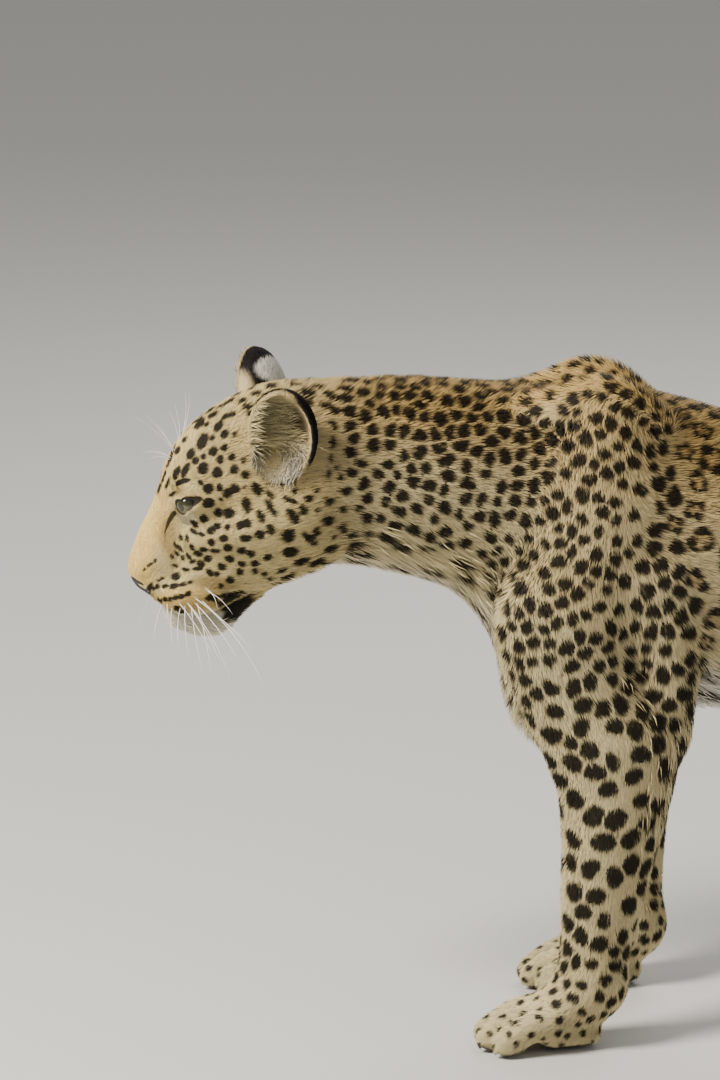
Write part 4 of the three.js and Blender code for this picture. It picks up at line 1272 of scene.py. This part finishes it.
def bare_places(p, normals):
    """Where no hair grows: the eyes' openings, the nose leather, the inside of the lips and the pads."""
    q = to_head(p)
    fold = np.stack([q[:, 0], np.abs(q[:, 1]), q[:, 2]], 1)
    eye = (eye_distance(q) < EYE_AREA) & (eye_ratio(q)[0] < 1.22)
    nose = leather_distance(q) < -0.5
    lips = chain_distance(fold, LIP_LINE, 1.6) < 0
    pads = (p[:, 2] < 9.0) & (normals[:, 2] < -0.5)
    return eye | nose | lips | pads


def laid(tip, normal, most):
    """Tips moved along the normal so that they end on the solids' surface, or a little inside it."""
    over = flesh(tip) + RNG.uniform(0.0, most, len(tip))
    return tip - normal * np.clip(over, -2.5, 5.0)[:, None]


# Operators


class LEOPARD_OT_skin(bpy.types.Operator):
    """Build the hide in one piece, with its markings"""

    bl_idname = "leopard.skin"
    bl_label = "Skin"

    def execute(self, context):
        skin = the_skin()
        colours = painted(skin.vertices, skin.normals, skin.shares, 0.3)
        pads = ramp(skin.vertices[:, 2], 9, 4) * ramp(skin.normals[:, 2], -0.3, -0.7)
        pad, lid = colours_of(bare_settings(), "pad lid")
        colours = blend(colours, pad, pads)
        lips = chain_distance(np.abs(to_head(skin.vertices)) * np.array([-1, 1, 1]), LIP_LINE, 1.6)
        colours = blend(colours, lid, ramp(lips, 1.0, -0.5))
        hide = shared_material("leopard_hide", skin_material)
        # The hide is 15 % darker than the coat: painted shade where it shows between the tufts
        piece = mesh_object("hide", skin.vertices, skin.faces, hide, colours * 0.85)
        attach(piece, "root")
        nodes = ["head", "lower_jaw", "neck", "chest", "hindquarters", "tail_base", "tail_middle", "tail_tip"]
        for place in ("front", "hind"):
            for side in ("left", "right"):
                nodes += [f"{place}_leg_{side}", f"{place}_paw_{side}"]
        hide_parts(*nodes)
        return {"FINISHED"}


class LEOPARD_OT_coat(bpy.types.Operator):
    """Cover the hide with short tufts that lie along the body"""

    bl_idname = "leopard.coat"
    bl_label = "Coat"

    def execute(self, context):
        skin = the_skin()
        count = coat_settings().tufts
        middle, normal, share = skin.face_middles()
        length, width = tuft_sizes(middle, normal, share)
        density = 1 / (length * width) * mix(1.5, 0.75, ramp(middle[:, 0], 60, 300))
        p, n, along, share = roots_on(skin, count, density)
        keep = ~bare_places(p, n)
        p, n, along, share = p[keep], n[keep], along[keep], kept(share, keep)
        length, width = tuft_sizes(p, n, share)
        length = length * RNG.uniform(0.75, 1.2, len(p)) * (1 + 0.1 * wave_noise(p, 18, 11))
        depth = coat_depth(p) * RNG.uniform(0.75, 1.05, len(p))
        side = np.cross(n, along)
        swing = RNG.normal(0, 0.1, len(p)) + 0.06 * wave_noise(p, 30, 13) + 0.05 * wave_noise(p, 9, 14)
        along = unit(along + side * swing[:, None])
        hang = ramp(n[:, 2], -0.2, -0.7) * (share["trunk"] + share["breast"] + share["neck"])
        along = unit(along + np.array([0, 0, -1.0]) * (0.35 * hang)[:, None])
        tip = laid(p + along * length[:, None] + n * depth[:, None], n, 1.4)
        colour = painted(p + (tip - p) * 0.42, n, share)
        tip_colour = painted(p + (tip - p) * 0.8, n, share)
        shade = RNG.uniform(0.86, 1.12, len(p))[:, None]
        colour, tip_colour = colour * shade, tip_colour * shade
        uv = unwrapped(p, share)
        order = np.argsort(p[:, 0], kind="stable")
        for i, k in enumerate(np.array_split(order, math.ceil(len(order) / MOST_IN_PIECE))):
            made = spikes(p[k], n[k], along[k], width[k], tip[k], colour[k], tip_colour[k])
            coat_piece(f"coat_{i:02d}", made, uv[k])
        return {"FINISHED"}


class LEOPARD_OT_fringe(bpy.types.Operator):
    """Add the longer hair of the breast, belly, chin, cheeks and elbows"""

    bl_idname = "leopard.fringe"
    bl_label = "Fringe"

    def execute(self, context):
        skin = the_skin()
        middle, normal, share = skin.face_middles()
        z = middle[:, 2]
        density = share["breast"] * ramp(middle[:, 0], -30, -60) * 0.3
        density += ramp(normal[:, 2], -0.2, -0.6) * (share["trunk"] + 0.3 * share["neck"]) * 0.8
        density += (share["jaw"] > 0.6) * ramp(normal[:, 2], -0.1, -0.5) * 1.6
        elbow = ramp(normal[:, 0], 0.2, 0.7) * ramp(z, 200, 250) * ramp(z, 380, 330)
        density += share["foreleg"] * elbow * 1.2
        density += share["tail"] * ramp(middle[:, 0], 1130, 1170) * 1.2
        p, n, along, share = roots_on(skin, coat_settings().long_tufts, density + 1e-6)
        keep = ~bare_places(p, n)
        p, n, along, share = p[keep], n[keep], along[keep], kept(share, keep)
        jaw = share["jaw"]
        length = mix(mix(24.0, 15.0, share["breast"]), 11.0, jaw) * RNG.uniform(0.6, 1.1, len(p))
        length = mix(length, 16.0, share["tail"] + share["foreleg"])
        width = mix(2.0, 1.2, jaw) * RNG.uniform(0.8, 1.1, len(p))
        lift = coat_depth(p) * RNG.uniform(0.6, 1.0, len(p))
        droop = np.outer(length * 0.15, [0.0, 0.0, -1.0]) * ramp(n[:, 2], 0.5, -0.2)[:, None]
        colour = painted(p, n, share)
        colour *= RNG.uniform(0.88, 1.12, len(p))[:, None]
        along = unit(along + np.cross(n, along) * RNG.normal(0, 0.2, len(p))[:, None])
        end = p + along * length[:, None] + n * lift[:, None] + droop
        droop -= n * np.clip(flesh(end) - 1.0, 0, 12)[:, None]
        made = bent_spikes(p, n, along, length, width, lift, droop, colour)
        coat_piece("coat_fringe", made, unwrapped(p, share))
        return {"FINISHED"}


LEATHER_TURN = np.array(Matrix.Rotation(math.radians(-48), 3, "Y"))
LEATHER_MIDDLE = np.array([-427.0, 0.0, 433.5])
LEATHER_RADII = np.array([12.0, 19.0, 15.0])


def leather_distance(q):
    """About how far a point, in the head's own frame, is outside the nose leather's oval."""
    size = np.linalg.norm((q - LEATHER_MIDDLE) @ LEATHER_TURN / LEATHER_RADII, axis=1)
    return (size - 1.0) * 14.0


class LEOPARD_OT_nose(bpy.types.Operator):
    """Build the nose leather with its nostrils"""

    bl_idname = "leopard.nose"
    bl_label = "Nose"

    def execute(self, context):
        def field(p):
            q = to_head(p)
            d = soft_max(flesh(p) + 1.2, leather_distance(q), 2.5)
            for side in (-1, 1):
                hole = np.array([[-440, 6.5 * side, 442], [-427, 8 * side, 438], [-418, 15 * side, 436]])
                d = soft_max(d, -chain_distance(q, hole, 2.9), 1.5)
            groove = np.array([[-436, 0, 437], [-420, 0, 424]], float)
            return soft_max(d, -chain_distance(q, groove, 0.9), 1.5)

        vertices, faces = surface_net(field, (-448, -52, 412), (-405, 12, 466), 1.2)
        vertices = settle(field, vertices, 2, 0.8)
        leather = shared_material("moist_nose_leather", leather_material)
        piece = mesh_object("nose_leather", vertices, faces, leather)
        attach(piece, "root")
        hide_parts("nose")
        return {"FINISHED"}


# Rings of the eyeball, in degrees from the middle of its pupil
EYE_RINGS = (
    0, 6, 12, 15, 16.5, 18, 22, 26, 30, 35, 40, 44, 48, 50, 52, 55, 60, 66, 76, 90, 110, 135, 160, 179.5,
)


def eye_axes(side):
    """The way that an eye looks, with the directions to the right and up across it."""
    out = unit(np.array([-0.80, side * 0.55, -0.2]))
    upwards = np.array([0.32, 0.0, 1.0])
    up = unit(upwards - out * (upwards @ out))
    return out, np.cross(up, out), up


class LEOPARD_OT_eyes(bpy.types.Operator):
    """Build both eyeballs with pupil and iris"""

    bl_idname = "leopard.eyes"
    bl_label = "Eyes"

    def execute(self, context):
        for name, side in (("left", -1), ("right", 1)):
            self.ball(name, side)
        return {"FINISHED"}

    def ball(self, name, side):
        out, right, up = eye_axes(side)
        centre = EYE_PLACE * np.array([1.0, side, 1.0])
        turns = np.linspace(0, 2 * math.pi, 48, endpoint=False)
        ring, turn = (v[..., None] for v in np.meshgrid(EYE_RINGS, turns, indexing="ij"))
        a = np.radians(ring)
        # The cornea stands out a little over the iris
        bulge = EYE_RADIUS * (1 + 0.055 * ramp(ring, 48, 20))
        across = np.cos(turn) * right + np.sin(turn) * up
        vertices = from_head((centre + (np.cos(a) * out + np.sin(a) * across) * bulge).reshape(-1, 3))
        grain = 0.82 + 0.26 * np.random.default_rng(3).uniform(size=(len(turns), 1))
        iris, pupil, lid = colours_of(bare_settings(), "iris pupil lid")
        colour = mix(iris * 1.25, iris * 0.75, ramp(ring, 19, 49)) * grain
        colour = mix(pupil, colour, ramp(ring, 15.5, 18))
        colour = mix(colour, lid, ramp(ring, 49, 53))
        # The upper lid's shade
        colour = colour * mix(1.0, 0.3, ramp(np.sin(a) * np.sin(turn), 0.05, 0.4))
        faces = grid_faces(len(EYE_RINGS), len(turns))
        wet = shared_material("eye_wet", eye_material)
        piece = mesh_object(f"eyeball_{name}", vertices, faces, wet, colour.reshape(-1, 3))
        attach(piece, "root")
        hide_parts(f"eye_{name}")


def grid_faces(rows, columns):
    """Faces of a grid of points that closes round its columns."""
    i, j = np.meshgrid(np.arange(rows - 1), np.arange(columns), indexing="ij")
    i, j = i.ravel(), j.ravel()
    k = (j + 1) % columns
    return np.stack([i * columns + j, (i + 1) * columns + j, (i + 1) * columns + k, i * columns + k], 1)


EAR_OPEN = {-1: (0.42, 0.84), 1: (0.7, 0.62)}
EAR_PLACE = {-1: ([-300, -54, 540], [-306, -90, 640]), 1: ([-290, 54, 546], [-298, 88, 646])}
EAR_HEIGHT = 100.0
EAR_OVAL = np.array([32, EAR_HEIGHT / 2 - 1])


class Ear:
    """One ear: an oval cup, with the hair short behind and long inside."""

    def __init__(self, side):
        foot, tip = (np.array(p, float) for p in EAR_PLACE[side])
        self.side = side
        self.up = unit(tip - foot)
        forward, outward = EAR_OPEN[side]
        opens = np.array([-forward, side * outward, -0.3])
        self.opens = unit(opens - self.up * (opens @ self.up))
        self.right = np.cross(self.up, self.opens)
        self.middle = (foot + tip) / 2
        self.basis = np.stack([self.right, self.up, self.opens])

    def local(self, q):
        return (q - self.middle) @ self.basis.T

    def field(self, p, inset=1.4):
        v = self.local(to_head(p))
        outer = (np.linalg.norm(v / np.array([34, EAR_HEIGHT / 2, 25]), axis=1) - 1) * 27
        hollow = (v - np.array([0, 0, 14])) / np.array([30.5, EAR_HEIGHT / 2 - 4, 29.0])
        cup = (np.linalg.norm(hollow, axis=1) - 1) * 29
        return soft_max(outer + inset, -cup, 2.5)

    def build(self):
        box = from_head(np.array([self.middle - 62, self.middle + 62]))
        vertices, faces = surface_net(self.field, box.min(0) - 6, box.max(0) + 6, 2.4)
        vertices = settle(self.field, vertices, 2, 1.2)
        faces = triangles(faces)
        self.vertices, self.faces = vertices, faces
        self.normals = vertex_normals(vertices, faces)
        flow = np.tile(self.up @ YAW.T, (len(vertices), 1))
        flow -= self.normals * (flow * self.normals).sum(1, keepdims=True)
        self.flow = unit(flow)
        self.shares = {part: np.full(len(vertices), 1.0 if part == "head" else 0.0) for part in PARTS}

    def painted(self, p, normals):
        """The ear's colour: pale inside with painted shade deep in the cup, black behind with a white patch.
        """
        cream, white, tan, buff, spot = colours_of(coat_settings(), "cream white tan buff spot")
        v = self.local(to_head(p))
        n = normals @ YAW @ self.basis.T
        back = -self.side * v[:, 0]
        behind = ramp(n[:, 2], 0.4, 0.1)
        size = np.linalg.norm(v[:, :2] / EAR_OVAL, axis=1)
        rim = ramp(size, 0.7, 0.82)
        colour = blend(to_linear("#8b7a5c"), buff * 0.8, ramp(v[:, 1], 8, 30))
        # Painted shade in the deep middle of the cup
        cup_shade = patch(back, v[:, 1], (8.0, 2.0), (15.0, 25.0), 0, 0.5)
        colour = blend(colour, to_linear("#33291e"), cup_shade * 0.85)
        colour = blend(colour, mix(white, cream, 0.4), ramp(v[:, 1], -14, -26) * 0.9)
        colour = blend(colour, mix(buff, tan, 0.5) * 0.85, rim * (1 - behind))
        dark_edge = ramp(size, 0.86, 0.92) * ramp(back, 8, 16) * ramp(v[:, 1], -34, -22)
        colour = blend(colour, spot * 1.2, dark_edge)
        rear = np.tile(spot * 1.2, (len(p), 1))
        white_patch = ramp(np.hypot(v[:, 0] / 24, (v[:, 1] - 20) / 15), 1.05, 0.85)
        rear = blend(rear, white * 0.85, white_patch)
        rear = blend(rear, buff * 0.9, ramp(back, -26, -31))
        rear = blend(rear, buff * 0.9, ramp(v[:, 1], -30, -42))
        return blend(colour, rear, behind)


class LEOPARD_OT_ears(bpy.types.Operator):
    """Build both ears, with short hair behind and long pale hair inside"""

    bl_idname = "leopard.ears"
    bl_label = "Ears"

    def execute(self, context):
        for name, side in (("left", -1), ("right", 1)):
            ear = Ear(side)
            ear.build()
            # The ear's hide a fifth darker than its hair: painted shade under the hair
            colours = ear.painted(ear.vertices, ear.normals) * 0.8
            hide = shared_material("leopard_hide", skin_material)
            piece = mesh_object(f"ear_skin_{name}", ear.vertices, ear.faces, hide, colours)
            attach(piece, "root")
            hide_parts(f"ear_{name}")
            self.hair(name, ear)
        return {"FINISHED"}

    def hair(self, name, ear):
        """Short tufts all over the ear, then the long pale ones that grow in from its front and foot."""
        p, n, along, share = roots_on(ear, 8000, np.ones(len(ear.faces)))
        length = RNG.uniform(3.5, 5.5, len(p))
        tip = p + along * length[:, None] + n * (length * 0.16)[:, None]
        fits = (flesh(p) > -2.0) & (ear.field(tip, 0.0) < 0.6)
        p, n, along, tip = p[fits], n[fits], along[fits], tip[fits]
        colour = ear.painted(p, n)
        colour *= RNG.uniform(0.8, 1.15, len(p))[:, None]
        made = spikes(p, n, along, RNG.uniform(0.8, 1.1, len(p)), tip, colour, colour)
        piece = coat_piece(f"coat_ear_{name}", made, unwrapped(p, kept(share, fits)))
        p, n, along, share = roots_on(ear, 11000, np.ones(len(ear.faces)))
        v = ear.local(to_head(p))
        back = -ear.side * v[:, 0]
        turned = n @ YAW @ ear.basis.T
        grows = 0.75 * ramp(back, 6, -16) * ramp(v[:, 1], 46, 24) + ramp(v[:, 1], -2, -20) * ramp(back, 24, 8)
        inner = (turned[:, 2] > 0.1) & (np.linalg.norm(v[:, :2] / np.array([32, 48]), axis=1) < 0.98)
        inner &= RNG.uniform(size=len(p)) < grows
        p, n, v, share = p[inner], n[inner], v[inner], kept(share, inner)
        low = ramp(v[:, 1], -12, -28)[:, None]
        rearward = -ear.side * ear.right
        towards = rearward * mix(0.7, -0.1, low) + ear.up * mix(0.55, 0.1, low)
        towards += ear.opens * mix(0.35, 0.9, low)
        towards = unit(towards + RNG.normal(0, 0.2, (len(p), 3))) @ YAW.T
        cream, white = colours_of(coat_settings(), "cream white")
        pale = mix(cream, white, low * 0.7)
        colour = pale * RNG.uniform(0.65, 1.08, len(p))[:, None]
        length = RNG.uniform(16, 30, len(p)) * mix(1.0, 0.55, ramp(v[:, 1], -5, 42))
        length = mix(length, 15.0, low[:, 0])
        droop = np.outer(length * 0.12, [0.3, 0, -1.0])
        across = unit(np.cross(np.cross(towards, n), towards) + 1e-6)
        width = RNG.uniform(0.5, 0.8, len(p))
        made = bent_spikes(p, across, towards, length, width, length * 0.05, droop, colour)
        piece = coat_piece(f"coat_ear_inner_{name}", made, unwrapped(p, share))


def hair_strand(points, radius):
    """A thin tapering whisker through points, with three sides."""
    points = np.asarray(points)
    ahead = unit(np.gradient(points, axis=0))
    side = unit(np.cross(ahead, [0.3, 1.0, 0.2]))
    other = np.cross(ahead, side)
    n = len(points)
    size = radius * (1 - np.linspace(0, 1, n) ** 2) + 0.06
    angles = (0.0, 2.094, 4.189)
    rings = [points + (side * math.cos(angle) + other * math.sin(angle)) * size[:, None] for angle in angles]
    vertices = np.stack(rings, 1).reshape(-1, 3)
    faces = np.concatenate([triangles(grid_faces(n, 3)), [[0, 1, 2]], [[3 * n - 1, 3 * n - 2, 3 * n - 3]]])
    return vertices, faces


# Whiskers and brow hairs in the side view: where each starts and ends, and its bend as a share of its length
WHISKERS = [
    (-13.7, -78.8, 38.4, -103.9, -0.16), (0.3, -76, 23.5, -99.2, -0.22), (0.3, -87.1, 58.9, -139.2, -0.03),
    (7.7, -89.9, 51.4, -128.1, 0.02), (-13.7, -90.9, 20.7, -142, -0.03),
    (-6.2, -89.9, 28.2, -150.4, -0.04), (1.2, -91.8, 44.9, -148.5, -0.04),
    (10.5, -94.6, 69.1, -174.6, -0.06), (-23.9, -91.8, -21.1, -115, 0.03),
    (-27.6, -93.7, -36, -129.9, 0.05), (-18.3, -96.4, -17.4, -135.5, 0.04),
    (-10.9, -97.4, -11.8, -137.4, 0.05), (-6.2, -94.6, -1.6, -148.5, 0.03),
    (-0.7, -93.7, 11.4, -159.7, 0.02), (4, -92.7, 18.9, -163.4, -0.02), (-5.3, -90.9, 37.5, -165.3, -0.05),
]
BROW_HAIRS = [
    (-18.3, 50.5, -10, 106.3, 0.06), (-20.2, 49.6, -48.1, 84.9, 0.05), (-22, 47.7, -37.9, 77.5, 0.05),
    (-25.8, 44, -50.9, 51.4, 0.12), (-26.7, 41.2, -48.1, 43.1, 0.15), (-14.6, 54.2, -19.3, 93.3, 0.04),
]


class LEOPARD_OT_whiskers(bpy.types.Operator):
    """Add the whiskers of the muzzle and the stiff hairs over the eyes"""

    bl_idname = "leopard.whiskers"
    bl_label = "Whiskers"

    def execute(self, context):
        skin = the_skin()
        x, z, facing = side_view(skin.vertices, skin.normals)
        near = np.nonzero((to_head(skin.vertices)[:, 1] < 0) & (facing > 0.1) & (x < 60))[0]
        rng = np.random.default_rng(21)
        t = np.linspace(0, 1, 12)[:, None]
        vertices, faces, total = [], [], 0
        for rows, radius, spread in ((WHISKERS, 0.42, 0.35), (BROW_HAIRS, 0.3, 0.12)):
            for x0, z0, x1, z1, sag in rows:
                k = near[np.argmin((x[near] - x0) ** 2 + (z[near] - z0) ** 2)]
                start = to_head(skin.vertices[k]) - (skin.normals[k] @ YAW) * 1.5
                way = SIDE_RIGHT * (x1 - x0) + SIDE_UP * (z1 - z0)
                bend = (SIDE_RIGHT * (z1 - z0) - SIDE_UP * (x1 - x0)) * sag
                outward = SIDE_BACK * (math.hypot(x1 - x0, z1 - z0) * spread)
                for side in (-1, 1):
                    moved = way + rng.normal(0, 4.0, 3) * (side > 0)
                    points = start + moved * t + outward * t + bend * 4 * t * (1 - t)
                    points = from_head(points * np.array([1.0, -side, 1.0]))
                    made = hair_strand(points, radius)
                    vertices.append(made[0])
                    faces.append(made[1] + total)
                    total += len(made[0])
        stiff = shared_material("whisker", whisker_material)
        piece = mesh_object("whiskers", np.concatenate(vertices), np.concatenate(faces), stiff)
        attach(piece, "root")
        return {"FINISHED"}


# Stage, light and camera

VIEW_BACK = np.array([-0.1018, -0.9690, 0.2250])
VIEW_UP = np.array([0.0235, 0.2237, 0.9744])
VIEW_AIM = np.array([-219.0, -40.0, 480.0])
VIEW_HEIGHT = 1.0044
VIEW_DISTANCE = 6.0


def look(piece, place, aim, up):
    """Puts an object at place with its -Z towards aim."""
    back = unit(np.array(place) - np.array(aim))
    right = unit(np.cross(np.array(up, float), back))
    high = np.cross(back, right)
    matrix = Matrix([[right[i], high[i], back[i], place[i]] for i in range(3)] + [[0, 0, 0, 1]])
    piece.matrix_world = matrix


def soft_light(name, place, aim, size, power, colour):
    lamp = bpy.data.lights.new(name, "AREA")
    lamp.shape = "DISK"
    lamp.size = size
    lamp.energy = power
    lamp.color = colour
    piece = bpy.data.objects.new(name, lamp)
    bpy.context.scene.collection.objects.link(piece)
    look(piece, place, aim, (0.01, 1, 0))


class LEOPARD_OT_stage(bpy.types.Operator):
    """Set the floor, the soft lights and the camera"""

    bl_idname = "leopard.stage"
    bl_label = "Stage"

    def execute(self, context):
        scene = context.scene
        bpy.ops.mesh.primitive_plane_add(size=24)
        floor = context.object
        floor.name = "floor"
        floor.data.materials.append(floor_material())
        world = bpy.data.worlds.new("studio")
        world.use_nodes = True
        background = world.node_tree.nodes["Background"].inputs
        background["Color"].default_value = (1.0, 0.985, 0.95, 1)
        background["Strength"].default_value = 0.36
        scene.world = world
        soft_light("key", (-2.7, -1.25, 2.5), (-0.3, 0, 0.4), 1.2, 215, (1.0, 0.95, 0.86))
        soft_light("fill", (1.8, -2.6, 1.6), (0, 0, 0.4), 2.2, 10, (1.0, 0.98, 0.95))
        soft_light("rim", (0.6, 2.4, 2.6), (-0.3, 0, 0.5), 1.8, 50, (1.0, 0.98, 0.95))
        camera = bpy.data.cameras.new("camera")
        camera.sensor_fit = "VERTICAL"
        camera.sensor_height = 36.0
        camera.lens = 36.0 * VIEW_DISTANCE / VIEW_HEIGHT
        camera.clip_end = 60.0
        piece = bpy.data.objects.new("camera", camera)
        scene.collection.objects.link(piece)
        aim = placed(VIEW_AIM)
        look(piece, aim + VIEW_BACK * VIEW_DISTANCE, aim, VIEW_UP)
        scene.camera = piece
        return {"FINISHED"}


OPERATORS = (
    LEOPARD_OT_skin,
    LEOPARD_OT_coat,
    LEOPARD_OT_fringe,
    LEOPARD_OT_nose,
    LEOPARD_OT_eyes,
    LEOPARD_OT_ears,
    LEOPARD_OT_whiskers,
    LEOPARD_OT_stage,
)


class LEOPARD_PT_panel(bpy.types.Panel):
    """Lists the leopard's pieces"""

    bl_label = "Leopard"
    bl_idname = "LEOPARD_PT_panel"
    bl_space_type = "VIEW_3D"
    bl_region_type = "UI"
    bl_category = "Leopard"

    def draw(self, context):
        for operator in OPERATORS:
            self.layout.operator(operator.bl_idname)


CLASSES = (LeopardCoat, LeopardBare, *OPERATORS, LEOPARD_PT_panel)


def register():
    for cls in CLASSES:
        bpy.utils.register_class(cls)
    bpy.types.Scene.leopard_coat = bpy.props.PointerProperty(type=LeopardCoat)
    bpy.types.Scene.leopard_bare = bpy.props.PointerProperty(type=LeopardBare)


def unregister():
    del bpy.types.Scene.leopard_bare
    del bpy.types.Scene.leopard_coat
    for cls in reversed(CLASSES):
        bpy.utils.unregister_class(cls)


def main():
    register()
    bpy.ops.leopard.stage()
    bpy.ops.leopard.skin()
    bpy.ops.leopard.coat()
    bpy.ops.leopard.fringe()
    bpy.ops.leopard.nose()
    bpy.ops.leopard.eyes()
    bpy.ops.leopard.ears()
    bpy.ops.leopard.whiskers()


if __name__ == "__main__":
    main()
